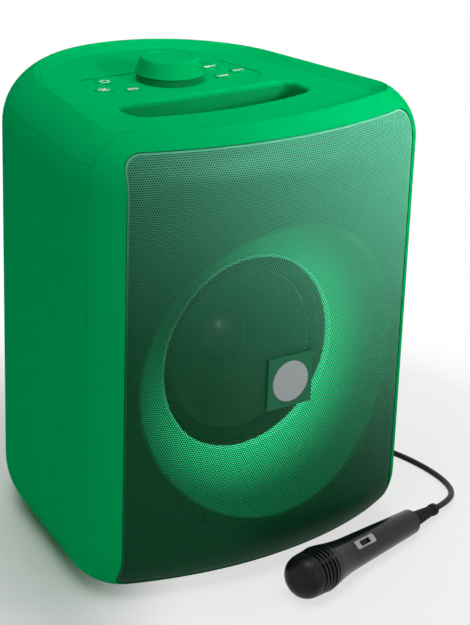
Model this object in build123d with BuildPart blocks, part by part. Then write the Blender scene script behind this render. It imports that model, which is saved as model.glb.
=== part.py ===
from build123d import *
from math import atan2, cos, degrees, pi, radians, sin, sqrt, tan
import os

os.makedirs("parts", exist_ok=True)

# A karaoke party speaker with a wired hand microphone. All lengths are in millimetres.
# The cabinet stands on z = 0, its front faces -Y, and the origin is the centre of its footprint.

# ---------------------------------------------------------------- sizes of the cabinet
body_width = 328.0
body_depth = 321.0
front_radius = 375.0  # bow of the front, seen from above
corner_radius = 51.0  # upright edges beside the grille
back_radius = 144.0  # round back, seen from above
hull_height = 400.0  # where the rounding of the top would close
top_rounding = 48.0
bottom_rounding = 45.0
foot_height = 4.0
wall = 3.0
seam_gap = 0.3
seat_gap = 0.3  # between a piece and the hole or ledge that it sits in

front_face_y = -body_depth / 2
back_end_y = body_depth / 2
side_x = body_width / 2
front_seam_y = front_face_y + 52.5  # front frame in front, rear shell behind
top_seam_z = hull_height - 29.0  # rear shell below, top cover above
base_seam_z = 34.0  # base pan below
lid_inset = 25.0  # top edge of the front frame, in from the outline
crest_inset = 26.0  # crest round the top, in from the outline
platform_inset = 36.0  # foot of the slope inside the crest
platform_z = hull_height - 12.0
platform_thickness = 4.5

# ---------------------------------------------------------------- sizes of the front
window_half_width = 140.0
window_bottom_z = 9.5
window_top_z = hull_height - 18.0
window_corner = 14.0
grille_inset = 0.8  # the sheet lies this far inside the frame's outer face
grille_sheet = 1.2
grille_edge_depth = 4.7  # edge turned back from the sheet
opening_columns = 10
opening_rows = 12
opening_bar = 5.0  # sheet left between two openings
opening_side_border = 7.5
opening_top_border = 14.0
opening_bottom_border = 18.0
badge_patch = 49.0  # the sheet stays whole in this square behind the badge
panel_inset = 5.5  # front face of the moulded panel behind the grille
panel_wall = 3.0
panel_margin = 6.0  # the panel reaches this far past the grille
panel_corner = 16.0
board_front_y = front_face_y + 62.0
board_thickness = 6.0
badge_width = 44.0
badge_height = 45.0
badge_thickness = 2.4
badge_disc_radius = 17.5
badge_disc_thickness = 0.8

woofer_z = 182.5
badge_centre_z = woofer_z - 3.0
dish_outer_radius = 127.4
dish_wall = 2.0
dish_turn_y = front_face_y + 27.5  # the straight rim ends and the bowl begins
dish_floor_y = board_front_y - 5.2
opening_radius = 84.6
diffuser_radius = opening_radius
dish_inner_radius = opening_radius + 2.0
light_ring_radius = dish_inner_radius + 12.4
light_ring_middle = dish_inner_radius + 7.9

# ---------------------------------------------------------------- sizes of the woofer
flange_radius = 104.0
flange_thickness = 2.0
surround_outer_radius = 81.5
surround_inner_radius = 70.3
surround_sheet = 0.9
gasket_thickness = 0.8
cone_radius = 70.0
cone_depth = 30.0
cone_sheet = 1.2
coil_radius = 20.3  # outside of the voice coil
coil_sheet = 1.6
dust_cap_radius = 25.0
dust_cap_height = 9.0
dust_cap_sheet = 0.8
spider_y = board_front_y + 48.5
spider_radius = 56.0
magnet_front_y = board_front_y + 68.5
magnet_radius = 50.0
magnet_thickness = 18.0
plate_radius = 45.0
plate_thickness = 5.0
pole_radius = 17.5
screw_circle_radius = 98.5
screw_count = 8
cone_travel = 3.0

# ---------------------------------------------------------------- sizes of the top
slot_half_width = 87.0
slot_rear_y = front_face_y + 133.5
slot_front_y = front_face_y + 85.0
slot_end_radius = 17.0
slot_rear_corner = 12.0
slot_lip = 3.0
cup_wall = 2.5
cup_flange = 7.0
cup_floor_z = platform_z - 45.0
cup_floor_radius = 8.0

control_front_y = slot_rear_y + 13.5
control_back_y = control_front_y + 67.5
control_front_half = 85.0
control_back_half = 73.0
control_front_corner = 24.0
control_back_corner = 4.0
control_sink = 0.6  # the panel lies this far below the platform
control_thickness = 2.0
control_ledge = 2.0

knob_y = control_front_y + 37.0
knob_bottom_radius = 29.3
knob_top_radius = 24.6
knob_bottom_z = platform_z + 6.0
knob_top_z = knob_bottom_z + 13.5
knob_edge = 2.6
knob_wall = 2.5
knob_dish_radius = 18.5
knob_dish_depth = 0.8
plinth_radius = 28.2
plinth_height = 6.0
shaft_radius = 3.0
shaft_running_gap = 0.05
bushing_radius = 4.5
bushing_height = 5.6
encoder_side = 13.0
encoder_height = 6.5

button_radius = 7.6
button_gap = 0.4
button_proud = 0.8
button_flange = 1.3
button_flange_thickness = 0.9
button_stem_radius = 1.6
button_travel = 1.0
button_centres = {
    "power_button": (-53.5, knob_y + 17.2),
    "light_button": (-67.7, knob_y - 4.8),
    "source_button": (-45.4, knob_y - 13.8),
    "mic_button": (53.5, knob_y + 17.2),
    "next_button": (67.7, knob_y - 4.8),
    "back_button": (45.4, knob_y - 13.8),
}
switch_side = 6.0
switch_height = 3.5
circuit_thickness = 1.6
post_radius = 2.5

# ---------------------------------------------------------------- sizes of the back and the inside
rear_half_width = 60.0
rear_bottom_z = 67.0
rear_top_z = 153.0
rear_corner = 8.0
rear_face_y = back_end_y - 15.5
rear_floor_thickness = 3.0
rear_rim = 3.0
socket_row_z = 88.0
jack_x = 42.0
instrument_x = 18.0
aux_x = -3.0
usb_x = -24.0
charge_x = -45.0
jack_width = 15.0
jack_depth = 30.0
jack_height = 14.0
jack_nose_radius = 5.5
jack_nose_length = 1.2
jack_bore_radius = 3.3
jack_bore_depth = 32.5
aux_width = 7.0
aux_depth = 14.0
aux_height = 6.4
aux_nose_radius = 3.1
aux_bore_radius = 1.8
aux_bore_depth = 14.0
usb_width = 14.0
usb_height = 6.8
usb_depth = 14.0
usb_wall = 0.8
charge_width = 9.2
charge_height = 3.5
charge_depth = 8.0
charge_wall = 0.4
charge_tongue = 0.7

rocker_x = 0.0
rocker_z = 128.0
rocker_pivot_depth = 1.5  # below the face of the rear panel
rocker_reach = 9.4
rocker_width = 12.4
rocker_tilt = 8.0
rocker_pin_radius = 1.2
bezel_width = 25.0
bezel_height = 18.5
bezel_flange = 1.5
bezel_depth = 14.0
bezel_wall = 1.0

port_z = 262.0
port_radius = 20.0
port_wall = 2.5
port_flange_radius = 29.0
port_flange_thickness = 5.0
port_length = 92.0
port_flare = 4.0

battery_length = 130.0
battery_width = 62.0
battery_height = 38.0
battery_y = 36.0
main_board_half = 56.0
main_board_length = 74.0
shelf_width = 6.0
shelf_thickness = 4.0

foot_radius = 13.0
foot_recess = 1.0
front_foot = (side_x - 68.0, front_face_y + 76.5)
rear_foot = (68.0, back_end_y - 70.5)
middle_pad_radius = 22.0
tower_radius = 6.0
boss_radius = 5.0
boss_height = 22.0
screw_radius = 1.6
screw_head_radius = 3.8
screw_head_thickness = 2.4
screw_head_z = 24.0
front_tower = (side_x - 34.0, front_face_y + 100.5)
rear_tower = (84.0, back_end_y - 76.5)
tower_points = [front_tower, (-front_tower[0], front_tower[1]), rear_tower, (-rear_tower[0], rear_tower[1])]

# ---------------------------------------------------------------- sizes of the microphone and its cord
mic_top = (side_x - 182.0, front_face_y - 46.5)  # above this point of the floor lies the top of the head
mic_heading = 16.0
mic_roll = 38.0  # turns the switch from straight up towards the front
mic_head_radius = 19.85
mic_head_widest = 27.0  # from the top of the head
mic_head_length = 41.0
mic_head_wall = 1.6
mic_slot_first = 14.5
mic_slot_pitch = 4.5
mic_slot_count = 5
mic_slot_height = 2.0
mic_slot_width = 26.0
mic_neck_radius = 18.6
mic_collar_end = 65.2
mic_collar_radius = 15.4
mic_handle_end = 166.7
mic_handle_radius = 15.2
mic_tail_radius = 11.3
mic_shell = 2.0
mic_seam = 0.2
mic_capsule_radius = 13.0
mic_switch_start = 70.0
mic_switch_length = 27.0
mic_switch_width = 8.0
mic_switch_travel = 6.0
mic_slider_length = 7.5
mic_slider_width = 4.6
relief_length = 39.3
relief_start_radius = 8.0
relief_end_radius = 4.6
relief_rib_count = 9
relief_collar_radius = 5.5
floor_gap = 0.05

cord_diameter = 5.5
coil_centre = (58.0, back_end_y + 47.5)
coil_mean_radius = 31.0
coil_rings = 3
coil_layers = 2
coil_lift = 0.9
coil_stub = 22.0
tie_thickness = 0.6
tie_width = 14.0
tie_gap = 0.15
plug_pin_radius = 3.17
plug_pin_length = 31.0
plug_body_radius = 7.5
plug_body_length = 27.0
plug_tail_length = 12.0
plug_tail_radius = 3.6

# ---------------------------------------------------------------- sizes that follow from those
side_centre_x = side_x - corner_radius
front_centre_y = front_radius + front_face_y
corner_centre_y = front_centre_y - sqrt((front_radius - corner_radius) ** 2 - side_centre_x**2)
back_centre_y = back_end_y - back_radius
crest_z = hull_height - top_rounding + sqrt(top_rounding**2 - (top_rounding - crest_inset) ** 2)
lid_underside_z = platform_z - platform_thickness
floor_z = foot_height + wall
board_rear_y = board_front_y + board_thickness
control_top_z = platform_z - control_sink
control_underside_z = control_top_z - control_thickness
circuit_top_z = control_underside_z - encoder_height
cord_radius = cord_diameter / 2


def plan_outline(plane, inset):
    """The cabinet's outline seen from above, moved inwards by inset, as a face on plane."""
    corner = Vector(side_centre_x, corner_centre_y)
    along_front = (corner - Vector(0, front_centre_y)).normalized()
    between = corner - Vector(0, back_centre_y)
    lean = degrees(atan2(between.Y, between.X))
    swing = degrees(atan2(sqrt(between.length**2 - (back_radius - corner_radius) ** 2),
                          back_radius - corner_radius))
    side = Vector(1, 0).rotate(Axis.Z, lean + swing)
    bend = (along_front + side).normalized()
    front_end = corner + along_front * (corner_radius - inset)
    corner_middle = corner + bend * (corner_radius - inset)
    side_start = corner + side * (corner_radius - inset)
    side_end = Vector(0, back_centre_y) + side * (back_radius - inset)
    with BuildSketch(plane) as outline:
        with BuildLine():
            ThreePointArc(mirrored(front_end), (0, front_face_y + inset), front_end)
            ThreePointArc(front_end, corner_middle, side_start)
            Line(side_start, side_end)
            ThreePointArc(side_end, (0, back_end_y - inset), mirrored(side_end))
            Line(mirrored(side_end), mirrored(side_start))
            ThreePointArc(mirrored(side_start), mirrored(corner_middle), mirrored(front_end))
        make_face()
    return outline.sketch


def mirrored(point):
    """The same point on the other side of the cabinet."""
    return Vector(-point.X, point.Y)


def cabinet_hull(inset):
    """The cabinet as a solid with rounded top and bottom edges, moved inwards by inset."""
    with BuildPart() as hull:
        extrude(plan_outline(Plane.XY.offset(inset), inset), amount=hull_height - 2 * inset)
        fillet(hull.faces().sort_by(Axis.Z)[-1].edges(), top_rounding - inset)
        fillet(hull.faces().sort_by(Axis.Z)[0].edges(), bottom_rounding - inset)
    return hull.part


def front_window(grow, top_z=None, bottom_z=None, corner=None):
    """The rounded opening of the front as a bar along Y that reaches behind the frame's skin."""
    low = window_bottom_z - grow if bottom_z is None else bottom_z
    high = window_top_z + grow if top_z is None else top_z
    radius = window_corner + grow if corner is None else corner
    with BuildPart() as window:
        with BuildSketch(Plane.XZ.offset(body_depth / 2 + 10)):
            with Locations((0, (low + high) / 2)):
                RectangleRounded(2 * (window_half_width + grow), high - low, radius)
        extrude(amount=-(body_depth / 2 + 10 + board_front_y - 1.5))
    return window.part


above_feet = Plane((0, 0, foot_height))
above_floor = Plane((0, 0, floor_z))
before_seam = Plane((0, front_seam_y - seam_gap / 2, 0), z_dir=(0, -1, 0))
behind_seam = Plane((0, front_seam_y + seam_gap / 2, 0), z_dir=(0, 1, 0))

outer_hull = cabinet_hull(0)
inner_hull = cabinet_hull(wall)

# ================================================================ cabinet
with BuildPart() as casing:
    add(outer_hull)
    split(bisect_by=above_feet, keep=Keep.TOP)

with BuildPart() as hollow:
    add(inner_hull)
    split(bisect_by=above_floor, keep=Keep.TOP)

with BuildPart() as skin:
    add(casing.part)
    add(hollow.part, mode=Mode.SUBTRACT)

# The lid's share of the front is everything inside this line, above the top seam.
with BuildPart() as lid_share:
    extrude(plan_outline(Plane.XY.offset(top_seam_z - 10), lid_inset), amount=60)

with BuildPart() as front_frame:
    add(skin.part)
    split(bisect_by=before_seam, keep=Keep.TOP)
    add(lid_share.part, mode=Mode.SUBTRACT)
    add(front_window(seat_gap), mode=Mode.SUBTRACT)
front_frame.part.label = "front_frame"

# Rear shell: sides and back, with a rib behind the speaker board, four screw bosses on webs,
# a cut-out for the connector panel and one for the bass port.
with BuildPart() as rear_rib:
    with Locations((0, board_rear_y + seat_gap + 2, (top_seam_z + base_seam_z) / 2)):
        Box(body_width, 4, top_seam_z - base_seam_z - 1)
    add(inner_hull, mode=Mode.INTERSECT)
    with Locations((0, board_rear_y, woofer_z)):
        Box(2 * (window_half_width + panel_margin), 40, 2 * hull_height, mode=Mode.SUBTRACT)

front_web_x = front_tower[0] + 14
rear_web = Vector(rear_tower[0] + 14, rear_tower[1] + 10)
with BuildPart() as rear_shell:
    add(skin.part)
    split(bisect_by=behind_seam, keep=Keep.TOP)
    split(bisect_by=Plane((0, 0, top_seam_z - seam_gap / 2)), keep=Keep.BOTTOM)
    split(bisect_by=Plane((0, 0, base_seam_z + seam_gap / 2)), keep=Keep.TOP)
    add(rear_rib.part)
    with BuildSketch(Plane.XY.offset(base_seam_z + seam_gap / 2)):
        with Locations(tower_points):
            Circle(boss_radius)
        with Locations((front_web_x, front_tower[1]), (-front_web_x, front_tower[1])):
            Rectangle(30, 3)
        with Locations(Location((rear_web.X, rear_web.Y, 0), (0, 0, 40)),
                       Location((-rear_web.X, rear_web.Y, 0), (0, 0, -40))):
            Rectangle(36, 3)
    extrude(amount=boss_height)
    add(outer_hull, mode=Mode.INTERSECT)
    with BuildSketch(Plane.XY.offset(base_seam_z)):
        with Locations(tower_points):
            Circle(screw_radius + 0.05)
    extrude(amount=boss_height, mode=Mode.SUBTRACT)
    with BuildSketch(Plane.XZ.offset(-body_depth / 2 - 5)):
        with Locations((0, (rear_bottom_z + rear_top_z) / 2)):
            RectangleRounded(2 * (rear_half_width + rear_rim + seat_gap),
                             rear_top_z - rear_bottom_z + 2 * (rear_rim + seat_gap), rear_corner + rear_rim)
        with Locations((0, port_z)):
            Circle(port_flange_radius + seat_gap)
    extrude(amount=40, mode=Mode.SUBTRACT)
rear_shell.part.label = "rear_shell"

# Base pan: the rounded bottom, with towers for the screws and shallow seats for the feet.
foot_points = [front_foot, (-front_foot[0], front_foot[1]), rear_foot, (-rear_foot[0], rear_foot[1])]
with BuildPart() as base_pan:
    add(skin.part)
    split(bisect_by=behind_seam, keep=Keep.TOP)
    split(bisect_by=Plane((0, 0, base_seam_z - seam_gap / 2)), keep=Keep.BOTTOM)
    with BuildSketch(Plane.XY.offset(foot_height)):
        with Locations(tower_points):
            Circle(tower_radius)
    extrude(amount=base_seam_z - seam_gap / 2 - foot_height)
    with BuildSketch(Plane.XY.offset(floor_z)):
        with Locations((0, battery_y)):
            Rectangle(battery_length + 2 * (seat_gap + 2), battery_width + 2 * (seat_gap + 2))
            Rectangle(battery_length + 2 * seat_gap, battery_width + 2 * seat_gap, mode=Mode.SUBTRACT)
    extrude(amount=10)
    with BuildSketch(Plane.XY.offset(foot_height)):
        with Locations(tower_points):
            Circle(screw_radius + seat_gap)
    extrude(amount=base_seam_z, mode=Mode.SUBTRACT)
    with BuildSketch(Plane.XY.offset(foot_height)):
        with Locations(tower_points):
            Circle(screw_head_radius + seat_gap)
    extrude(amount=screw_head_z - foot_height, mode=Mode.SUBTRACT)
    with BuildSketch(Plane.XY.offset(foot_height)):
        with Locations(foot_points):
            Circle(foot_radius + seat_gap)
        Circle(middle_pad_radius + seat_gap)
    extrude(amount=foot_recess, mode=Mode.SUBTRACT)
base_pan.part.label = "base_pan"

with BuildPart() as rubber_feet:
    with BuildSketch(Plane.XY):
        with Locations(foot_points):
            Circle(foot_radius)
        Circle(middle_pad_radius)
    extrude(amount=foot_height + foot_recess)
    chamfer(rubber_feet.edges().group_by(Axis.Z)[0], 1.0)
rubber_feet.part.label = "rubber_feet"

with BuildPart() as base_screws:
    with BuildSketch(Plane.XY.offset(screw_head_z)):
        with Locations(tower_points):
            Circle(screw_radius)
    extrude(amount=base_seam_z + boss_height - 4 - screw_head_z)
    with BuildSketch(Plane.XY.offset(screw_head_z)):
        with Locations(tower_points):
            Circle(screw_head_radius)
    extrude(amount=-screw_head_thickness)
base_screws.part.label = "base_screws"


# ================================================================ top cover, handle and controls
def slot_outline(plane, grow):
    """The handle slot: a straight rear edge, a bowed front edge and round ends."""
    bow = front_centre_y - slot_front_y + grow
    half = slot_half_width + grow
    end_y = front_centre_y - sqrt(bow**2 - half**2)
    with BuildSketch(plane) as outline:
        with BuildLine():
            Line((half, end_y), (half, slot_rear_y + grow))
            Line((half, slot_rear_y + grow), (-half, slot_rear_y + grow))
            Line((-half, slot_rear_y + grow), (-half, end_y))
            ThreePointArc((-half, end_y), (0, slot_front_y - grow), (half, end_y))
        make_face()
        fillet(outline.vertices().group_by(Axis.Y)[0], slot_end_radius + grow)
        fillet(outline.vertices().group_by(Axis.Y)[-1], slot_rear_corner + grow)
    return outline.sketch


def control_outline(plane, grow):
    """The control recess: wider at the front, with large front corners."""
    with BuildSketch(plane) as outline:
        with BuildLine():
            Polyline((-control_front_half, control_front_y), (control_front_half, control_front_y),
                     (control_back_half, control_back_y), (-control_back_half, control_back_y), close=True)
        make_face()
        fillet(outline.vertices().group_by(Axis.Y)[0], control_front_corner)
        fillet(outline.vertices().group_by(Axis.Y)[-1], control_back_corner)
        if grow:
            offset(amount=grow, mode=Mode.REPLACE)
    return outline.sketch


with BuildPart() as top_sink:
    loft([plan_outline(Plane.XY.offset(platform_z), platform_inset),
          plan_outline(Plane.XY.offset(crest_z), crest_inset)])
    extrude(plan_outline(Plane.XY.offset(crest_z), crest_inset), amount=20)

with BuildPart() as lid_hollow:
    add(inner_hull)
    split(bisect_by=Plane((0, 0, lid_underside_z)), keep=Keep.BOTTOM)

with BuildPart() as top_region:
    with Locations((0, (front_seam_y + seam_gap / 2 + body_depth) / 2, top_seam_z + seam_gap / 2 + 30)):
        Box(body_width + 20, body_depth - front_seam_y - seam_gap / 2, 60)
    extrude(plan_outline(Plane.XY.offset(top_seam_z + seam_gap / 2), lid_inset + seam_gap), amount=60)

with BuildPart() as top_cover:
    add(casing.part)
    add(lid_hollow.part, mode=Mode.SUBTRACT)
    add(top_region.part, mode=Mode.INTERSECT)
    add(top_sink.part, mode=Mode.SUBTRACT)
    extrude(slot_outline(Plane.XY.offset(platform_z), 0), amount=-platform_thickness, mode=Mode.SUBTRACT)
    slot_rim = (top_cover.edges().filter_by_position(Axis.Z, platform_z - 0.01, platform_z + 0.01)
                .filter_by(lambda e: slot_front_y - 1 < e.center().Y < slot_rear_y + 1
                           and abs(e.center().X) < slot_half_width + 1))
    fillet(slot_rim, slot_lip)
    extrude(control_outline(Plane.XY.offset(platform_z), 0), amount=control_underside_z - platform_z,
            mode=Mode.SUBTRACT)
    extrude(control_outline(Plane.XY.offset(platform_z), -control_ledge), amount=-platform_thickness,
            mode=Mode.SUBTRACT)
top_cover.part.label = "top_cover"

with BuildPart() as handle_cup:
    cup_depth = lid_underside_z - cup_floor_z + cup_wall
    extrude(slot_outline(Plane.XY.offset(lid_underside_z), cup_wall), amount=-cup_depth)
    fillet(handle_cup.faces().sort_by(Axis.Z)[0].edges(), cup_floor_radius)
    extrude(slot_outline(Plane.XY.offset(lid_underside_z), cup_flange), amount=-cup_wall)
with BuildPart() as cup_hollow:
    extrude(slot_outline(Plane.XY.offset(lid_underside_z), 0), amount=cup_floor_z - lid_underside_z)
    fillet(cup_hollow.faces().sort_by(Axis.Z)[0].edges(), cup_floor_radius - cup_wall)
with BuildPart() as handle_cup_finished:
    add(handle_cup.part)
    add(cup_hollow.part, mode=Mode.SUBTRACT)
handle_cup_finished.part.label = "handle_cup"

post_points = [(x, knob_y + y) for x, y in ((34.0, 20.5), (-34.0, 20.5), (58.0, -24.5), (-58.0, -24.5))]
with BuildPart() as control_panel:
    extrude(control_outline(Plane.XY.offset(control_underside_z), -seat_gap), amount=control_thickness)
    with BuildSketch(Plane.XY.offset(control_underside_z)):
        with Locations(post_points):
            Circle(post_radius)
    extrude(amount=-encoder_height)
    with BuildSketch(Plane.XY.offset(control_top_z)):
        with Locations(list(button_centres.values())):
            Circle(button_radius + button_gap)
        with Locations((0, knob_y)):
            Circle(bushing_radius + 0.2)
    extrude(amount=-control_thickness, mode=Mode.SUBTRACT)
control_panel.part.label = "control_panel"

with BuildPart() as button_board:
    extrude(control_outline(Plane.XY.offset(circuit_top_z), -7), amount=-circuit_thickness)
    with BuildSketch(Plane.XY.offset(circuit_top_z)):
        with Locations(list(button_centres.values())):
            Rectangle(switch_side, switch_side)
            Circle(button_stem_radius + seat_gap, mode=Mode.SUBTRACT)
    extrude(amount=switch_height)
button_board.part.label = "button_board"

button_top_z = control_top_z + button_proud
button_flange_z = control_underside_z - seat_gap
buttons = {}
for button_name, centre in button_centres.items():
    with BuildPart() as button:
        with BuildSketch(Plane.XY.offset(button_top_z)):
            with Locations(centre):
                Circle(button_radius)
        extrude(amount=button_flange_z - button_top_z)
        fillet(button.faces().sort_by(Axis.Z)[-1].edges(), 0.6)
        with BuildSketch(Plane.XY.offset(button_flange_z)):
            with Locations(centre):
                Circle(button_radius + button_flange)
        extrude(amount=-button_flange_thickness)
        with BuildSketch(Plane.XY.offset(button_flange_z - button_flange_thickness)):
            with Locations(centre):
                Circle(button_stem_radius)
        extrude(amount=circuit_top_z + switch_height - 0.4 - button_flange_z + button_flange_thickness)
    button.part.label = button_name
    buttons[button_name] = button.part

knob_axis = Axis((0, knob_y, 0), (0, 0, 1))
knob_section = Plane((0, knob_y, 0), x_dir=(1, 0, 0), z_dir=(0, -1, 0))
plinth_top_z = control_top_z + plinth_height

with BuildPart() as knob_plinth:
    with BuildSketch(Plane.XY.offset(control_top_z)):
        with Locations((0, knob_y)):
            Circle(plinth_radius)
            Circle(plinth_radius - 6, mode=Mode.SUBTRACT)
    extrude(amount=plinth_height)
    fillet(knob_plinth.edges().group_by(Axis.Z)[-1].sort_by(SortBy.LENGTH)[-1], 1.5)
knob_plinth.part.label = "knob_plinth"

bushing_top_z = control_underside_z + bushing_height
with BuildPart() as knob_encoder:
    with BuildSketch(Plane.XY.offset(circuit_top_z)):
        with Locations((0, knob_y)):
            Rectangle(encoder_side, encoder_side)
    extrude(amount=encoder_height)
    with BuildSketch(Plane.XY.offset(control_underside_z)):
        with Locations((0, knob_y)):
            Circle(bushing_radius)
    extrude(amount=bushing_height)
    with BuildSketch(Plane.XY.offset(bushing_top_z)):
        with Locations((0, knob_y)):
            Circle(shaft_radius + shaft_running_gap)
    extrude(amount=circuit_top_z + 1 - bushing_top_z, mode=Mode.SUBTRACT)
knob_encoder.part.label = "knob_encoder"

shaft_top_z = knob_top_z - 5.0
with BuildPart() as encoder_shaft:
    with BuildSketch(Plane.XY.offset(circuit_top_z + 1 + seat_gap)):
        with Locations((0, knob_y)):
            Circle(shaft_radius)
    extrude(amount=shaft_top_z - circuit_top_z - 1 - seat_gap)
encoder_shaft.part.label = "encoder_shaft"

with BuildPart() as volume_knob:
    with BuildSketch(knob_section):
        with BuildLine():
            Polyline((0, knob_top_z - knob_dish_depth), (knob_dish_radius, knob_top_z - knob_dish_depth),
                     (knob_dish_radius + 0.8, knob_top_z), (knob_top_radius, knob_top_z),
                     (knob_bottom_radius, knob_bottom_z), (knob_bottom_radius - knob_wall, knob_bottom_z),
                     (knob_top_radius - knob_wall, knob_top_z - 4), (shaft_radius + 4, knob_top_z - 4),
                     (shaft_radius + 4, bushing_top_z + seat_gap), (0, bushing_top_z + seat_gap), close=True)
        make_face()
    revolve(axis=knob_axis)
    top_edge = volume_knob.edges().group_by(Axis.Z)[-1].sort_by(SortBy.LENGTH)[-1]
    fillet(top_edge, knob_edge)
    with BuildSketch(Plane.XY.offset(bushing_top_z)):
        with Locations((0, knob_y)):
            Circle(shaft_radius + 0.02)
    extrude(amount=shaft_top_z - bushing_top_z, mode=Mode.SUBTRACT)
volume_knob.part.label = "volume_knob"

# ================================================================ front: grille, badge, panel, lit dish
with BuildPart() as front_grille:
    add(cabinet_hull(grille_inset))
    add(cabinet_hull(grille_inset + grille_edge_depth), mode=Mode.SUBTRACT)
    add(front_window(0), mode=Mode.INTERSECT)
with BuildPart() as grille_back:
    add(cabinet_hull(grille_inset + grille_sheet))
    add(front_window(-grille_sheet), mode=Mode.INTERSECT)
with BuildPart() as front_grille_finished:
    add(front_grille.part)
    add(grille_back.part, mode=Mode.SUBTRACT)
    openings_low = window_bottom_z + opening_bottom_border
    openings_high = window_top_z - opening_top_border
    column_pitch = (2 * (window_half_width - opening_side_border) + opening_bar) / opening_columns
    row_pitch = (openings_high - openings_low + opening_bar) / opening_rows
    with BuildSketch(Plane.XZ.offset(body_depth / 2)):
        with Locations((0, (openings_low + openings_high) / 2)):
            with GridLocations(column_pitch, row_pitch, opening_columns, opening_rows):
                Rectangle(column_pitch - opening_bar, row_pitch - opening_bar)
        with Locations((0, badge_centre_z)):
            Rectangle(badge_patch, badge_patch, mode=Mode.SUBTRACT)
    extrude(amount=front_face_y - board_front_y, mode=Mode.SUBTRACT)
front_grille_finished.part.label = "front_grille"

badge_back_y = front_face_y + grille_inset
with BuildPart() as badge_plate:
    with BuildSketch(Plane.XZ.offset(-badge_back_y + badge_thickness)):
        with Locations((0, badge_centre_z)):
            Rectangle(badge_width, badge_height)
    extrude(amount=-badge_thickness - 4)
    add(cabinet_hull(grille_inset - 0.1), mode=Mode.SUBTRACT)
badge_plate.part.label = "badge_plate"

with BuildPart() as badge_disc:
    with BuildSketch(Plane.XZ.offset(-badge_back_y + badge_thickness)):
        with Locations((0, badge_centre_z)):
            Circle(badge_disc_radius)
    extrude(amount=badge_disc_thickness)
badge_disc.part.label = "badge_disc"

panel_top_z = lid_underside_z - seat_gap
panel_bottom_z = floor_z + 1.0
with BuildPart() as front_panel:
    add(cabinet_hull(panel_inset))
    add(cabinet_hull(panel_inset + panel_wall), mode=Mode.SUBTRACT)
    add(front_window(panel_margin, panel_top_z, panel_bottom_z, panel_corner), mode=Mode.INTERSECT)
with BuildPart() as panel_skirt:
    with BuildSketch(Plane.XZ.offset(-board_front_y)):
        with Locations((0, (panel_top_z + panel_bottom_z) / 2)):
            RectangleRounded(2 * (window_half_width + panel_margin), panel_top_z - panel_bottom_z,
                             panel_corner)
            RectangleRounded(2 * (window_half_width + panel_margin - panel_wall),
                             panel_top_z - panel_bottom_z - 2 * panel_wall, panel_corner - panel_wall,
                             mode=Mode.SUBTRACT)
    extrude(amount=body_depth / 2 + board_front_y)
    add(cabinet_hull(panel_inset), mode=Mode.INTERSECT)
with BuildPart() as front_panel_finished:
    add(front_panel.part)
    add(panel_skirt.part)
    with BuildSketch(Plane.XZ.offset(body_depth / 2)):
        with Locations((0, woofer_z)):
            Circle(dish_outer_radius + seat_gap)
    extrude(amount=-body_depth / 2 - board_front_y, mode=Mode.SUBTRACT)
front_panel_finished.part.label = "front_panel"

woofer_axis = Axis((0, 0, woofer_z), (0, 1, 0))
woofer_section = Plane.XY.offset(woofer_z)

with BuildPart() as light_dish:
    bowl_width = dish_outer_radius - dish_wall - dish_inner_radius
    bowl_depth = dish_floor_y - dish_turn_y
    with BuildSketch(woofer_section):
        with BuildLine():
            Line((dish_outer_radius, front_face_y), (dish_outer_radius, dish_turn_y))
            EllipticalCenterArc((dish_inner_radius, dish_turn_y), bowl_width + dish_wall,
                                bowl_depth + dish_wall, start_angle=0, arc_size=90)
            Line((dish_inner_radius, dish_floor_y + dish_wall), (dish_inner_radius, dish_floor_y))
            EllipticalCenterArc((dish_inner_radius, dish_turn_y), bowl_width, bowl_depth,
                                start_angle=0, arc_size=90)
            Polyline((dish_outer_radius - dish_wall, dish_turn_y),
                     (dish_outer_radius - dish_wall, front_face_y), (dish_outer_radius, front_face_y))
        make_face()
        with Locations((dish_inner_radius + 1.5, (dish_floor_y + dish_wall / 2 + board_front_y) / 2)):
            Rectangle(3, board_front_y - dish_floor_y - dish_wall / 2)
    revolve(axis=woofer_axis)
    add(cabinet_hull(panel_inset), mode=Mode.INTERSECT)
light_dish.part.label = "light_dish"

with BuildPart() as light_diffuser:
    with BuildSketch(woofer_section):
        with BuildLine():
            Polyline((diffuser_radius, board_front_y), (diffuser_radius, dish_floor_y - 0.8),
                     (dish_inner_radius - 0.3, dish_floor_y - 0.8), (dish_inner_radius - 0.3, board_front_y),
                     close=True)
        make_face()
    revolve(axis=woofer_axis)
light_diffuser.part.label = "light_diffuser"

led_count = 24
with BuildPart() as light_ring:
    with BuildSketch(Plane.XZ.offset(-board_front_y)):
        with Locations((0, woofer_z)):
            Circle(light_ring_radius)
            Circle(dish_inner_radius + 3.3, mode=Mode.SUBTRACT)
    extrude(amount=1.2)
    with BuildSketch(Plane.XZ.offset(-board_front_y + 1.2)):
        with Locations((0, woofer_z)):
            with PolarLocations(light_ring_middle, led_count):
                Rectangle(3.5, 3.5)
    extrude(amount=0.8)
light_ring.part.label = "light_ring"

screw_places = PolarLocations(screw_circle_radius, screw_count, start_angle=22.5)
with BuildPart() as speaker_board:
    with Locations((0, (board_front_y + board_rear_y) / 2, (floor_z + seat_gap + panel_top_z) / 2)):
        Box(body_width, board_thickness, panel_top_z - floor_z - seat_gap)
    add(cabinet_hull(wall + seat_gap), mode=Mode.INTERSECT)
    with BuildSketch(Plane.XZ.offset(-board_rear_y)):
        with Locations((0, woofer_z)):
            Circle(opening_radius)
    extrude(amount=board_thickness, mode=Mode.SUBTRACT)
    with BuildSketch(Plane.XZ.offset(-board_rear_y)):
        with Locations((0, woofer_z)):
            with PolarLocations(screw_circle_radius, screw_count, start_angle=22.5):
                Circle(screw_radius + 0.1)
    extrude(amount=4.4, mode=Mode.SUBTRACT)
speaker_board.part.label = "speaker_board"

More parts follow.
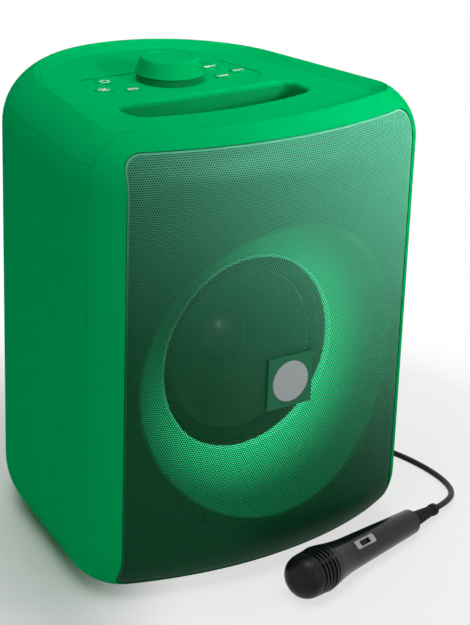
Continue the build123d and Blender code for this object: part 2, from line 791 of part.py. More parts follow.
# ================================================================ woofer
flange_front_y = board_rear_y + gasket_thickness
flange_rear_y = flange_front_y + flange_thickness
cone_edge_y = board_rear_y + 0.5
cone_neck_y = cone_edge_y + cone_depth

with BuildPart() as woofer_basket:
    leg_inner, leg_outer = plate_radius + 7, flange_radius - 10
    with BuildSketch(woofer_section):
        with BuildLine():
            Polyline((surround_outer_radius + 1, flange_front_y), (flange_radius, flange_front_y),
                     (flange_radius, flange_rear_y), (leg_outer, flange_rear_y),
                     (leg_inner, magnet_front_y - plate_thickness), (leg_inner, magnet_front_y),
                     (coil_radius + 0.8, magnet_front_y),
                     (coil_radius + 0.8, magnet_front_y - plate_thickness),
                     (leg_inner - 3, magnet_front_y - plate_thickness), (leg_outer - 3, flange_rear_y),
                     (surround_outer_radius + 1, flange_rear_y), close=True)
        make_face()
        with BuildLine():
            Polyline((spider_radius - 3, spider_y + 0.8), (spider_radius + 10, spider_y + 0.8),
                     (spider_radius + 10, spider_y + 2.8), (spider_radius - 3, spider_y + 2.8), close=True)
        make_face()
    revolve(axis=woofer_axis)
    with BuildSketch(Plane.XZ.offset(-flange_rear_y)):
        with Locations((0, woofer_z)):
            with PolarLocations(77, 6):
                Rectangle(20, 44)
    extrude(amount=-(spider_y - 2 - flange_rear_y), mode=Mode.SUBTRACT)
    with BuildSketch(Plane.XZ.offset(-flange_front_y)):
        with Locations((0, woofer_z)):
            with PolarLocations(screw_circle_radius, screw_count, start_angle=22.5):
                Circle(screw_radius + 0.2)
    extrude(amount=-flange_thickness, mode=Mode.SUBTRACT)
woofer_basket.part.label = "woofer_basket"

with BuildPart() as woofer_magnet:
    yoke_y = magnet_front_y + magnet_thickness
    with BuildSketch(woofer_section):
        with BuildLine():
            Polyline((0, magnet_front_y - plate_thickness), (pole_radius, magnet_front_y - plate_thickness),
                     (pole_radius, yoke_y), (plate_radius - 19, yoke_y), (plate_radius - 19, magnet_front_y),
                     (magnet_radius, magnet_front_y), (magnet_radius, yoke_y), (plate_radius, yoke_y),
                     (plate_radius, yoke_y + plate_thickness + 1), (0, yoke_y + plate_thickness + 1),
                     close=True)
        make_face()
    revolve(axis=woofer_axis)
woofer_magnet.part.label = "woofer_magnet"

with BuildPart() as woofer_surround:
    roll = (surround_outer_radius - surround_inner_radius) / 2
    roll_middle = (surround_outer_radius + surround_inner_radius) / 2
    with BuildSketch(woofer_section):
        with BuildLine():
            ThreePointArc((surround_outer_radius, board_rear_y), (roll_middle, board_rear_y - roll),
                          (surround_inner_radius, board_rear_y))
            inner_lip = surround_inner_radius + surround_sheet
            Line((surround_inner_radius, board_rear_y), (inner_lip, board_rear_y))
            ThreePointArc((inner_lip, board_rear_y),
                          (roll_middle, board_rear_y - roll + surround_sheet),
                          (surround_outer_radius - surround_sheet, board_rear_y))
            Polyline((surround_outer_radius - surround_sheet, board_rear_y),
                     (surround_outer_radius - surround_sheet, flange_front_y),
                     (flange_radius, flange_front_y), (flange_radius, board_rear_y),
                     (surround_outer_radius, board_rear_y))
        make_face()
    revolve(axis=woofer_axis)
    with BuildSketch(Plane.XZ.offset(-board_rear_y)):
        with Locations((0, woofer_z)):
            with PolarLocations(screw_circle_radius, screw_count, start_angle=22.5):
                Circle(screw_radius + 0.2)
    extrude(amount=-gasket_thickness, mode=Mode.SUBTRACT)
woofer_surround.part.label = "woofer_surround"

with BuildPart() as woofer_screws:
    with BuildSketch(Plane.XZ.offset(-flange_rear_y)):
        with Locations((0, woofer_z)):
            with PolarLocations(screw_circle_radius, screw_count, start_angle=22.5):
                Circle(screw_radius)
    extrude(amount=flange_rear_y - board_rear_y + 4)
    with BuildSketch(Plane.XZ.offset(-flange_rear_y)):
        with Locations((0, woofer_z)):
            with PolarLocations(screw_circle_radius, screw_count, start_angle=22.5):
                Circle(3.2)
    extrude(amount=-2)
woofer_screws.part.label = "woofer_screws"

with BuildPart() as woofer_cone:
    neck = coil_radius + seat_gap
    waist_x = (cone_radius + neck) / 2 - 2
    waist_y = cone_edge_y + cone_depth * 0.56
    with BuildSketch(woofer_section):
        with BuildLine():
            ThreePointArc((cone_radius, cone_edge_y), (waist_x, waist_y), (neck, cone_neck_y))
            Line((neck, cone_neck_y), (neck, cone_neck_y + cone_sheet * 1.4))
            ThreePointArc((neck, cone_neck_y + cone_sheet * 1.4), (waist_x, waist_y + cone_sheet * 1.3),
                          (cone_radius, cone_edge_y + cone_sheet))
            Line((cone_radius, cone_edge_y + cone_sheet), (cone_radius, cone_edge_y))
        make_face()
    revolve(axis=woofer_axis)
woofer_cone.part.label = "woofer_cone"

cap_base_y = cone_edge_y + cone_depth * 0.9
cap_sphere = (dust_cap_radius**2 + dust_cap_height**2) / (2 * dust_cap_height)
cap_centre_y = cap_base_y - dust_cap_height + cap_sphere
cap_inner = cap_sphere - dust_cap_sheet
with BuildPart() as dust_cap:
    half_x = dust_cap_radius / 2
    rim_x = sqrt(cap_inner**2 - (cap_centre_y - cap_base_y) ** 2)
    with BuildSketch(woofer_section):
        with BuildLine():
            ThreePointArc((0, cap_centre_y - cap_sphere),
                          (half_x, cap_centre_y - sqrt(cap_sphere**2 - half_x**2)),
                          (dust_cap_radius, cap_base_y))
            Line((dust_cap_radius, cap_base_y), (rim_x, cap_base_y))
            ThreePointArc((rim_x, cap_base_y), (half_x, cap_centre_y - sqrt(cap_inner**2 - half_x**2)),
                          (0, cap_centre_y - cap_inner))
            Line((0, cap_centre_y - cap_inner), (0, cap_centre_y - cap_sphere))
        make_face()
    revolve(axis=woofer_axis)
dust_cap.part.label = "dust_cap"

with BuildPart() as voice_coil:
    with BuildSketch(Plane.XZ.offset(-cone_neck_y + 2)):
        with Locations((0, woofer_z)):
            Circle(coil_radius)
            Circle(coil_radius - coil_sheet, mode=Mode.SUBTRACT)
    extrude(amount=-(magnet_front_y + 6 - cone_neck_y + 2))
voice_coil.part.label = "voice_coil"

with BuildPart() as woofer_spider:
    ridge = 1.6
    with BuildSketch(woofer_section):
        with BuildLine():
            lower = [(coil_radius + seat_gap, spider_y), (28, spider_y - ridge), (35, spider_y),
                     (42, spider_y - ridge), (49, spider_y), (spider_radius, spider_y)]
            upper = [(x, y + 0.8) for x, y in reversed(lower)]
            Polyline(*lower, *upper, close=True)
        make_face()
    revolve(axis=woofer_axis)
woofer_spider.part.label = "woofer_spider"

# ================================================================ rear panel, sockets and electronics
rear_inner_y = rear_face_y - rear_floor_thickness
rear_middle_z = (rear_bottom_z + rear_top_z) / 2
main_board_top_z = socket_row_z - jack_height / 2

with BuildPart() as rear_panel:
    with BuildSketch(Plane.XZ.offset(-rear_inner_y)):
        with Locations((0, rear_middle_z)):
            RectangleRounded(2 * (rear_half_width + rear_rim), rear_top_z - rear_bottom_z + 2 * rear_rim,
                             rear_corner + rear_rim)
    extrude(amount=-(body_depth / 2 - rear_inner_y))
    add(outer_hull, mode=Mode.INTERSECT)
    with BuildSketch(Plane.XZ.offset(-rear_face_y)):
        with Locations((0, rear_middle_z)):
            RectangleRounded(2 * rear_half_width, rear_top_z - rear_bottom_z, rear_corner)
    extrude(amount=-(body_depth / 2 - rear_face_y), mode=Mode.SUBTRACT)
    with BuildSketch(Plane.XZ.offset(-rear_face_y)):
        with Locations((jack_x, socket_row_z), (instrument_x, socket_row_z)):
            Circle(jack_nose_radius + 0.2)
        with Locations((aux_x, socket_row_z)):
            Circle(aux_nose_radius + 0.2)
        with Locations((usb_x, socket_row_z)):
            Rectangle(usb_width + 2 * 0.2, usb_height + 2 * 0.2)
        with Locations((charge_x, socket_row_z)):
            RectangleRounded(charge_width + 2 * 0.2, charge_height + 2 * 0.2, charge_height / 2)
        with Locations((rocker_x, rocker_z)):
            Rectangle(2 * (rocker_reach + seat_gap + bezel_wall + 0.2),
                      rocker_width + 2 * (seat_gap + bezel_wall + 0.2))
    extrude(amount=rear_floor_thickness, mode=Mode.SUBTRACT)
    with Locations((main_board_half - shelf_width / 2, rear_inner_y - main_board_length / 2,
                    main_board_top_z - circuit_thickness - shelf_thickness / 2),
                   (shelf_width / 2 - main_board_half, rear_inner_y - main_board_length / 2,
                    main_board_top_z - circuit_thickness - shelf_thickness / 2)):
        Box(shelf_width, main_board_length, shelf_thickness)
rear_panel.part.label = "rear_panel"


def round_socket(x, width, depth, height, nose, bore, bore_depth):
    """A jack socket: a block behind the rear panel with a round nose through it and a blind bore."""
    with BuildPart() as socket:
        with Locations((x, rear_inner_y - depth / 2, socket_row_z)):
            Box(width, depth, height)
        with BuildSketch(Plane.XZ.offset(-rear_inner_y)):
            with Locations((x, socket_row_z)):
                Circle(nose)
        extrude(amount=-rear_floor_thickness - jack_nose_length)
        with BuildSketch(Plane.XZ.offset(-rear_face_y - jack_nose_length)):
            with Locations((x, socket_row_z)):
                Circle(bore)
        extrude(amount=bore_depth, mode=Mode.SUBTRACT)
    return socket.part


mic_jack = round_socket(jack_x, jack_width, jack_depth, jack_height, jack_nose_radius,
                        jack_bore_radius, jack_bore_depth)
mic_jack.label = "mic_jack"
instrument_jack = round_socket(instrument_x, jack_width, jack_depth, jack_height, jack_nose_radius,
                               jack_bore_radius, jack_bore_depth)
instrument_jack.label = "instrument_jack"
aux_jack = round_socket(aux_x, aux_width, aux_depth, aux_height, aux_nose_radius,
                        aux_bore_radius, aux_bore_depth)
aux_jack.label = "aux_jack"

with BuildPart() as usb_port:
    with Locations((usb_x, rear_face_y - usb_depth / 2, socket_row_z)):
        Box(usb_width, usb_depth, usb_height)
        with Locations((0, usb_wall, 0)):
            Box(usb_width - 2 * usb_wall, usb_depth, usb_height - 2 * usb_wall, mode=Mode.SUBTRACT)
usb_port.part.label = "usb_port"

with BuildPart() as charge_port:
    with BuildSketch(Plane.XZ.offset(-rear_face_y)):
        with Locations((charge_x, socket_row_z)):
            RectangleRounded(charge_width, charge_height, charge_height / 2 - 0.01)
    extrude(amount=charge_depth)
    with BuildSketch(Plane.XZ.offset(-rear_face_y)):
        with Locations((charge_x, socket_row_z)):
            RectangleRounded(charge_width - 2 * charge_wall, charge_height - 2 * charge_wall,
                             charge_height / 2 - charge_wall - 0.01)
            Rectangle(charge_width - 3, charge_tongue, mode=Mode.SUBTRACT)
    extrude(amount=charge_depth - 1, mode=Mode.SUBTRACT)
charge_port.part.label = "charge_port"

with BuildPart() as main_board:
    with Locations((0, rear_inner_y - main_board_length / 2, main_board_top_z - circuit_thickness / 2)):
        Box(2 * main_board_half, main_board_length, circuit_thickness)
main_board.part.label = "main_board"

sink_fins = 7
with BuildPart() as board_parts:
    with BuildSketch(Plane.XY.offset(main_board_top_z)):
        with Locations((-22, rear_inner_y - 58)):
            Rectangle(44, 24)
    extrude(amount=3)
    with BuildSketch(Plane.XY.offset(main_board_top_z + 3)):
        with Locations((-22, rear_inner_y - 58)):
            with GridLocations(6.8, 0, sink_fins, 1):
                Rectangle(1.6, 24)
    extrude(amount=18)
    with BuildSketch(Plane.XY.offset(main_board_top_z)):
        with Locations((14, rear_inner_y - 60), (30, rear_inner_y - 60), (44, rear_inner_y - 44)):
            Circle(6)
    extrude(amount=20)
board_parts.part.label = "board_parts"

with BuildPart() as battery_pack:
    with Locations((0, battery_y, floor_z + battery_height / 2)):
        Box(battery_length, battery_width, battery_height)
    fillet(battery_pack.edges().filter_by(Axis.X), 4)
battery_pack.part.label = "battery_pack"

# Rocker switch: the paddle turns on a pin across the short side, so its ends follow one circle.
rocker_pivot = (rocker_x, rear_face_y - rocker_pivot_depth)
cavity_half = rocker_reach + seat_gap
with BuildPart() as rocker_bezel:
    with BuildSketch(Plane.XZ.offset(-rear_face_y)):
        with Locations((rocker_x, rocker_z)):
            RectangleRounded(bezel_width, bezel_height, 2)
    extrude(amount=-bezel_flange)
    with BuildSketch(Plane.XZ.offset(-rear_face_y)):
        with Locations((rocker_x, rocker_z)):
            Rectangle(2 * (cavity_half + bezel_wall), rocker_width + 2 * (seat_gap + bezel_wall))
    extrude(amount=bezel_depth)
    with BuildSketch(Plane.XZ.offset(-rear_face_y - bezel_flange)):
        with Locations((rocker_x, rocker_z)):
            Rectangle(2 * cavity_half, rocker_width + 2 * seat_gap)
    extrude(amount=bezel_depth + bezel_flange - 1.5, mode=Mode.SUBTRACT)
    with BuildSketch(Plane.XY.offset(rocker_z)):
        with Locations(rocker_pivot):
            Circle(rocker_pin_radius + shaft_running_gap)
    extrude(amount=rocker_width / 2 + seat_gap + bezel_wall - 0.2, both=True, mode=Mode.SUBTRACT)
rocker_bezel.part.label = "rocker_bezel"

rocker_plane = Plane((*rocker_pivot, rocker_z),
                     x_dir=(cos(radians(-rocker_tilt)), sin(radians(-rocker_tilt)), 0))
with BuildPart() as power_rocker:
    with BuildSketch(rocker_plane):
        Circle(rocker_reach)
        with BuildLine():
            Polyline((-rocker_reach, 4.6), (0, 3.2), (rocker_reach, 4.6), (rocker_reach, -3.6),
                     (-rocker_reach, -3.6), close=True)
        make_face(mode=Mode.INTERSECT)
    extrude(amount=rocker_width / 2, both=True)
    with BuildSketch(rocker_plane):
        Circle(rocker_pin_radius)
    extrude(amount=rocker_width / 2 + seat_gap + bezel_wall - 0.4, both=True)
power_rocker.part.label = "power_rocker"

port_axis = Axis((0, 0, port_z), (0, 1, 0))
port_mouth_y = back_end_y
with BuildPart() as bass_port:
    with BuildSketch(Plane.XY.offset(port_z)):
        with BuildLine():
            Polyline((port_radius, port_mouth_y - port_length), (port_radius, port_mouth_y - port_flare * 2),
                     (port_radius + port_flare, port_mouth_y), (port_flange_radius, port_mouth_y),
                     (port_flange_radius, port_mouth_y - 5 - port_flange_thickness),
                     (port_radius + port_wall, port_mouth_y - 5 - port_flange_thickness),
                     (port_radius + port_wall, port_mouth_y - port_length), close=True)
        make_face()
    revolve(axis=port_axis)
    add(outer_hull, mode=Mode.INTERSECT)
bass_port.part.label = "bass_port"

# ================================================================ microphone
# The microphone lies on its widest ring and on the end of its handle, so its axis dips to the tail.
mic_dip = atan2(mic_head_radius - mic_tail_radius, mic_handle_end - 0.8 - mic_head_widest)
mic_forward = Vector(cos(radians(mic_heading)), sin(radians(mic_heading)), 0)
mic_along = mic_forward * cos(mic_dip) - Vector(0, 0, sin(mic_dip))
mic_up = mic_forward * sin(mic_dip) + Vector(0, 0, cos(mic_dip))
mic_start_z = mic_head_radius * cos(mic_dip) + mic_head_widest * sin(mic_dip) + floor_gap
mic_origin = Vector(mic_top[0], mic_top[1], mic_start_z)
mic_axis = Axis(mic_origin, mic_along)
mic_facing = mic_up.rotate(Axis((0, 0, 0), mic_along), mic_roll)
mic_section = Plane(mic_origin, x_dir=mic_facing, z_dir=mic_facing.cross(mic_along))


def mic_across(distance):
    """The plane square to the microphone's axis, distance from the top of the head."""
    return Plane(mic_origin + mic_along * distance, x_dir=mic_facing, z_dir=mic_along)


def mic_tangent(distance, height):
    """The plane over the switch: its x runs along the axis, its normal faces out of the handle."""
    return Plane(mic_origin + mic_along * distance + mic_facing * height, x_dir=mic_along, z_dir=mic_facing)


def head_profile(inset):
    """Points of the head's outline, from the top to the neck, moved inwards by inset."""
    return [(0, inset), (11.5 - inset * 0.5, 0.8 + inset), (17.2 - inset, 5.6 + inset * 0.4),
            (19.3 - inset, 14), (mic_head_radius - inset, mic_head_widest),
            (mic_neck_radius - inset, mic_head_length)]


with BuildPart() as mic_head:
    with BuildSketch(mic_section):
        with BuildLine():
            Spline(*head_profile(0), tangents=((1, 0), (-0.18, 1)))
            Line((mic_neck_radius, mic_head_length), (mic_neck_radius - mic_head_wall, mic_head_length))
            Spline(*head_profile(mic_head_wall), tangents=((1, 0), (-0.18, 1)))
            Line((0, mic_head_wall), (0, 0))
        make_face()
    revolve(axis=mic_axis)
    for slot in range(mic_slot_count):
        slot_plane = mic_across(mic_slot_first + slot * mic_slot_pitch)
        with BuildSketch(slot_plane):
            with PolarLocations(mic_head_radius, 4, start_angle=45):
                Rectangle(2 * 8, mic_slot_width)
            Circle(8, mode=Mode.SUBTRACT)
        extrude(amount=mic_slot_height, mode=Mode.SUBTRACT)
mic_head.part.label = "mic_head"

with BuildPart() as mic_capsule:
    with BuildSketch(mic_across(11)):
        Circle(mic_capsule_radius)
    extrude(amount=mic_head_length + 1.5 - 11)
    fillet(mic_capsule.edges().sort_by(mic_axis)[0], 5)
mic_capsule.part.label = "mic_capsule"

with BuildPart() as mic_collar:
    collar_start = mic_head_length + mic_seam
    with BuildSketch(mic_section):
        with BuildLine():
            ThreePointArc((mic_neck_radius, collar_start), (16.7, (collar_start + mic_collar_end) / 2),
                          (mic_collar_radius, mic_collar_end))
            Polyline((mic_collar_radius, mic_collar_end), (mic_collar_radius - mic_shell, mic_collar_end),
                     (mic_collar_radius - mic_shell, collar_start + 2.5), (0, collar_start + 2.5),
                     (0, collar_start + 1.3), (mic_neck_radius - mic_shell, collar_start + 1.3),
                     (mic_neck_radius - mic_shell, collar_start), (mic_neck_radius, collar_start))
        make_face()
    revolve(axis=mic_axis)
mic_collar.part.label = "mic_collar"

pad_height = 13.6  # face of the switch plate's seat, from the axis
with BuildPart() as mic_handle:
    handle_start = mic_collar_end + mic_seam
    with BuildSketch(mic_section):
        with BuildLine():
            Polyline((mic_handle_radius, handle_start), (mic_tail_radius, mic_handle_end - 0.8),
                     (mic_tail_radius - 0.8, mic_handle_end), (relief_start_radius - 2, mic_handle_end),
                     (relief_start_radius - 2, mic_handle_end - 4),
                     (mic_tail_radius - mic_shell - 0.4, mic_handle_end - 4),
                     (mic_handle_radius - mic_shell, handle_start), close=True)
        make_face()
    revolve(axis=mic_axis)
    with BuildSketch(mic_tangent(mic_switch_start + mic_switch_length / 2, mic_handle_radius)):
        RectangleRounded(mic_switch_length, mic_switch_width, 2)
    extrude(amount=pad_height - mic_handle_radius, mode=Mode.SUBTRACT)
    with BuildSketch(mic_tangent(mic_switch_start + mic_switch_length / 2, mic_handle_radius)):
        Rectangle(mic_slider_length + mic_switch_travel, mic_slider_width)
    extrude(amount=-5, mode=Mode.SUBTRACT)
mic_handle.part.label = "mic_handle"

slider_run = mic_slider_length + mic_switch_travel
with BuildPart() as mic_switch_plate:
    with BuildSketch(mic_tangent(mic_switch_start + mic_switch_length / 2, pad_height)):
        RectangleRounded(mic_switch_length - 0.2, mic_switch_width - 0.2, 1.9)
        Rectangle(slider_run, mic_slider_width, mode=Mode.SUBTRACT)
    extrude(amount=1.0)
mic_switch_plate.part.label = "mic_switch_plate"

slider_middle = mic_switch_start + mic_switch_length / 2 - mic_switch_travel / 2
with BuildPart() as mic_switch:
    with BuildSketch(mic_tangent(slider_middle, pad_height - 1.2)):
        Rectangle(mic_slider_length - 0.6, mic_slider_width - 0.6)
    extrude(amount=3.6)
    for ridge_step in (-1.6, 0.0, 1.6):
        with BuildSketch(mic_tangent(slider_middle + ridge_step, pad_height + 2.4)):
            Rectangle(0.7, mic_slider_width)
        extrude(amount=-0.5, mode=Mode.SUBTRACT)
mic_switch.part.label = "mic_switch"

with BuildPart() as mic_relief:
    relief_end = mic_handle_end + relief_length
    rib_pitch = (relief_length - 8) / relief_rib_count
    outline = [(0, mic_handle_end + 0.1), (relief_start_radius, mic_handle_end + 0.1),
               (relief_start_radius - 0.4, mic_handle_end + 3)]
    for rib in range(relief_rib_count):
        rib_start = mic_handle_end + 3 + rib * rib_pitch
        share = (rib_start - mic_handle_end) / relief_length
        radius = relief_start_radius - 0.4 + (relief_end_radius - relief_start_radius) * share
        outline += [(radius - 1.0, rib_start + 0.1), (radius - 1.1, rib_start + rib_pitch * 0.4),
                    (radius - 0.2, rib_start + rib_pitch * 0.45),
                    (radius - 0.35, rib_start + rib_pitch * 0.97)]
    outline += [(relief_collar_radius, relief_end - 4.6), (relief_collar_radius, relief_end - 0.5),
                (relief_collar_radius - 0.5, relief_end), (0, relief_end)]
    with BuildSketch(mic_section):
        with BuildLine():
            Polyline(*outline, close=True)
        make_face()
    revolve(axis=mic_axis)
mic_relief.part.label = "mic_relief"

# ================================================================ cord, coil and plug
plug_face_y = rear_face_y + jack_nose_length + 0.3
plug_end_y = plug_face_y + plug_body_length + plug_tail_length
coil_outer_ring = coil_mean_radius + (coil_rings - 1) / 2 * cord_diameter
coil_low_z = coil_lift + cord_radius
coil_high_z = coil_low_z + (coil_layers - 1) * cord_diameter
coil_inlet = (coil_centre[0] + coil_stub, coil_centre[1] - coil_outer_ring, coil_low_z)
coil_outlet = (coil_centre[0] - coil_outer_ring, coil_centre[1] + coil_stub, coil_high_z)

# From the microphone's tail round the right side of the cabinet to the coil behind it.
floor_route = [
    tuple(mic_origin + mic_along * relief_end),
    tuple(mic_origin + mic_along * (relief_end + 22)),
    (side_x + 61.0, front_face_y + 35.5, 4.0),
    (side_x + 72.0, front_face_y + 69.5, 2.8),
    (side_x + 70.5, front_face_y + 115.5, 2.8),
    (side_x + 57.0, 5.0, 2.8),
    (side_x + 45.0, back_end_y - 102.5, 2.8),
    (side_x + 25.5, back_end_y - 53.5, 2.8),
    (side_x - 4.0, back_end_y - 17.0, 2.8),
    (side_x - 38.0, back_end_y + 4.5, 3.0),
    (coil_inlet[0] + coil_stub, coil_inlet[1], coil_inlet[2]),
    coil_inlet,
]
# From the coil up to the plug in the rear panel.
plug_route = [
    coil_outlet,
    (coil_outlet[0], coil_outlet[1] + coil_stub, coil_outlet[2]),
    (24.0, back_end_y + 117.5, 9.8),
    (30.0, back_end_y + 139.5, 22.0),
    (37.0, back_end_y + 147.5, 47.0),
    (42.0, back_end_y + 134.5, 70.0),
    (43.0, back_end_y + 109.5, 83.5),
    (42.5, back_end_y + 79.5, 87.5),
    (jack_x, back_end_y + 50.5, socket_row_z),
    (jack_x, plug_end_y, socket_row_z),
]


def bend_radii(points):
    """One radius for each corner of the route: as large as its two runs allow."""
    radii = []
    for before, here, after in zip(points, points[1:], points[2:]):
        run_in = Vector(here) - Vector(before)
        run_out = Vector(after) - Vector(here)
        turn = run_in.get_angle(run_out)
        radii.append(0.45 * min(run_in.length, run_out.length) / tan(radians(turn) / 2))
    return radii


def cord_tube(points):
    """The cord along a route of straight runs and tangent arcs."""
    first_run = Vector(points[1]) - Vector(points[0])
    with BuildPart() as tube:
        with BuildLine() as path:
            FilletPolyline(*points, radius=bend_radii(points))
        with BuildSketch(Plane(points[0], z_dir=first_run)):
            Circle(cord_radius)
        sweep()
    print("bend radii", [round(radius, 1) for radius in bend_radii(points)])
    length = sum(edge.length for edge in path.edges())
    fullness = tube.part.volume / (pi * cord_radius**2 * length)
    print("cord length", round(length, 1), "volume / expected", round(fullness, 4))
    return tube.part


mic_cord = cord_tube(floor_route)
mic_cord.label = "mic_cord"
mic_cord_lead = cord_tube(plug_route)
mic_cord_lead.label = "mic_cord_lead"

coil_height = coil_layers * cord_diameter
coil_half_width = coil_rings * cord_diameter / 2
with BuildPart() as mic_cord_coil:
    with BuildSketch(Plane.XY.offset(coil_lift)):
        with Locations(coil_centre):
            Circle(coil_mean_radius + coil_half_width)
            Circle(coil_mean_radius - coil_half_width, mode=Mode.SUBTRACT)
    extrude(amount=coil_height)
    with BuildSketch(Plane((coil_centre[0], coil_inlet[1], coil_low_z), z_dir=(1, 0, 0))):
        Circle(cord_radius)
    extrude(amount=coil_stub)
    with BuildSketch(Plane((coil_outlet[0], coil_centre[1], coil_high_z), z_dir=(0, 1, 0))):
        Circle(cord_radius)
    extrude(amount=coil_stub)
mic_cord_coil.part.label = "mic_cord_coil"

with BuildPart() as mic_cord_tie:
    tie_inner = coil_mean_radius - coil_half_width - 1.3
    tie_outer = coil_mean_radius + coil_half_width + tie_gap
    tie_middle = (coil_centre[0] + (tie_inner + tie_outer) / 2, coil_centre[1], coil_lift + coil_height / 2)
    with Locations(tie_middle):
        Box(tie_outer - tie_inner + 2 * tie_thickness, tie_width,
            coil_height + 2 * (tie_gap + tie_thickness))
        Box(tie_outer - tie_inner, tie_width, coil_height + 2 * tie_gap, mode=Mode.SUBTRACT)
mic_cord_tie.part.label = "mic_cord_tie"

plug_axis = Axis((jack_x, 0, socket_row_z), (0, 1, 0))
plug_section = Plane((jack_x, 0, socket_row_z), x_dir=(1, 0, 0), z_dir=(0, 0, 1))
with BuildPart() as mic_plug_pin:
    tip_y = plug_face_y - plug_pin_length
    with BuildSketch(plug_section):
        with BuildLine():
            Polyline((0, plug_face_y), (plug_pin_radius, plug_face_y), (plug_pin_radius, tip_y + 7.4),
                     (plug_pin_radius - 0.7, tip_y + 6.2), (plug_pin_radius, tip_y + 4.2),
                     (plug_pin_radius, tip_y + 2.6), (0.9, tip_y), (0, tip_y), close=True)
        make_face()
    revolve(axis=plug_axis)
mic_plug_pin.part.label = "mic_plug_pin"

with BuildPart() as mic_plug_body:
    with BuildSketch(plug_section):
        with BuildLine():
            Polyline((0, plug_face_y), (plug_body_radius - 0.6, plug_face_y),
                     (plug_body_radius, plug_face_y + 0.6), (plug_body_radius, plug_face_y + 19),
                     (plug_body_radius - 1.6, plug_face_y + plug_body_length),
                     (plug_tail_radius + 1.2, plug_face_y + plug_body_length + 0.4),
                     (plug_tail_radius, plug_end_y), (0, plug_end_y), close=True)
        make_face()
    revolve(axis=plug_axis)
mic_plug_body.part.label = "mic_plug_body"

# ================================================================ files
finished = [
    front_frame.part, rear_shell.part, base_pan.part, rubber_feet.part, base_screws.part, top_cover.part,
    handle_cup_finished.part, control_panel.part, button_board.part, *buttons.values(), knob_plinth.part,
    knob_encoder.part, encoder_shaft.part, volume_knob.part, front_grille_finished.part, badge_plate.part,
    badge_disc.part, front_panel_finished.part, light_dish.part, light_diffuser.part, light_ring.part,
    speaker_board.part, woofer_basket.part, woofer_magnet.part, woofer_surround.part, woofer_screws.part,
    woofer_cone.part, dust_cap.part, voice_coil.part, woofer_spider.part, rear_panel.part, mic_jack,
    instrument_jack, aux_jack, usb_port.part, charge_port.part, main_board.part, board_parts.part,
    battery_pack.part, rocker_bezel.part, power_rocker.part, bass_port.part, mic_head.part, mic_capsule.part,
    mic_collar.part, mic_handle.part, mic_switch_plate.part, mic_switch.part, mic_relief.part, mic_cord,
    mic_cord_lead, mic_cord_coil.part, mic_cord_tie.part, mic_plug_pin.part, mic_plug_body.part,
]
for piece in finished:
    export_step(piece, f"parts/{piece.label}.step")
print(len(finished), "pieces")
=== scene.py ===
import math

import bmesh
import bpy
from mathutils import Matrix, Vector


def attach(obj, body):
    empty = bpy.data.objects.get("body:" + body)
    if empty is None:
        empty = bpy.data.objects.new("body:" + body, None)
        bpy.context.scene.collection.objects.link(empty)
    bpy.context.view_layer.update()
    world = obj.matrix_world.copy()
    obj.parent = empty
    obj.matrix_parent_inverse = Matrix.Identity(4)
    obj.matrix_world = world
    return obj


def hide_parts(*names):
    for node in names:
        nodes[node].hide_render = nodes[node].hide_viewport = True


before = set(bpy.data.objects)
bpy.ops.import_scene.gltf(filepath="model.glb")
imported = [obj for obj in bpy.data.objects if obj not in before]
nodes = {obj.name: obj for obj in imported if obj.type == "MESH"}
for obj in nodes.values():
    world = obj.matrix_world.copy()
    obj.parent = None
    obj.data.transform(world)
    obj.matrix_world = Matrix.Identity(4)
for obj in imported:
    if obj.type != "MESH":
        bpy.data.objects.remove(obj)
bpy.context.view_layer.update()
scene = bpy.context.scene


# a new object in the scene that shows this data
def addObject(name, data):
    made = bpy.data.objects.new(name, data)
    scene.collection.objects.link(made)
    return made


# camera
view = {
    "lens": 113.58, "sensorWidth": 36.0, "nearest": 0.05, "furthest": 30.0,
    "place": (-0.900194, -1.323347, 0.820510),
    "right": (0.81658736, -0.57627377, 0.03306995),
    "upward": (0.18779482, 0.31940893, 0.9288224),
    "backward": (-0.54581883, -0.75225426, 0.36904652),
}
cameraData = bpy.data.cameras.new("camera")
cameraData.lens = view["lens"]
cameraData.sensor_width = view["sensorWidth"]
cameraData.clip_start = view["nearest"]
cameraData.clip_end = view["furthest"]
camera = addObject("camera", cameraData)
turned = Matrix((view["right"], view["upward"], view["backward"])).transposed().to_4x4()
camera.matrix_world = Matrix.Translation(view["place"]) @ turned
scene.camera = camera
print("camera placed")

# cord: from the plug in the rear panel, through the coil behind the cabinet, to the microphone
plugRoute = [
    (0.042, 0.1855, 0.088),
    (0.042, 0.211, 0.088),
    (0.0425, 0.240, 0.0875),
    (0.043, 0.270, 0.0835),
    (0.042, 0.295, 0.070),
    (0.037, 0.308, 0.047),
    (0.030, 0.300, 0.022),
    (0.024, 0.278, 0.0098),
    (0.0215, 0.252, 0.00915),
    (0.0215, 0.230, 0.00915),
]
floorRoute = [
    (0.080, 0.1715, 0.00365),
    (0.102, 0.1715, 0.00365),
    (0.126, 0.165, 0.0030),
    (0.160, 0.1435, 0.0028),
    (0.1895, 0.107, 0.0028),
    (0.209, 0.058, 0.0028),
    (0.221, 0.005, 0.0028),
    (0.2345, -0.045, 0.0028),
    (0.236, -0.091, 0.0028),
    (0.225, -0.125, 0.0040),
    (0.200754, -0.144273, 0.007513),
    (0.179646, -0.150326, 0.008865),
]
cordShape = {"radius": 0.00275, "order": 3, "stepsAlong": 8, "stepsRound": 6}
coil = {
    "centre": (0.058, 0.208), "radius": 0.031, "pitch": 0.0055, "low": 0.00365, "high": 0.00915,
    "steps": 24,  # points for each turn
    "outlet": 0.5, "inlet": 5.75,  # where the cord leaves and enters, in turns from +X
    "shift": 2,  # points before and after +X in which the cord passes to the next turn
    "swell": 0.75,  # the curve runs inside its points, so they stand a little further out
}


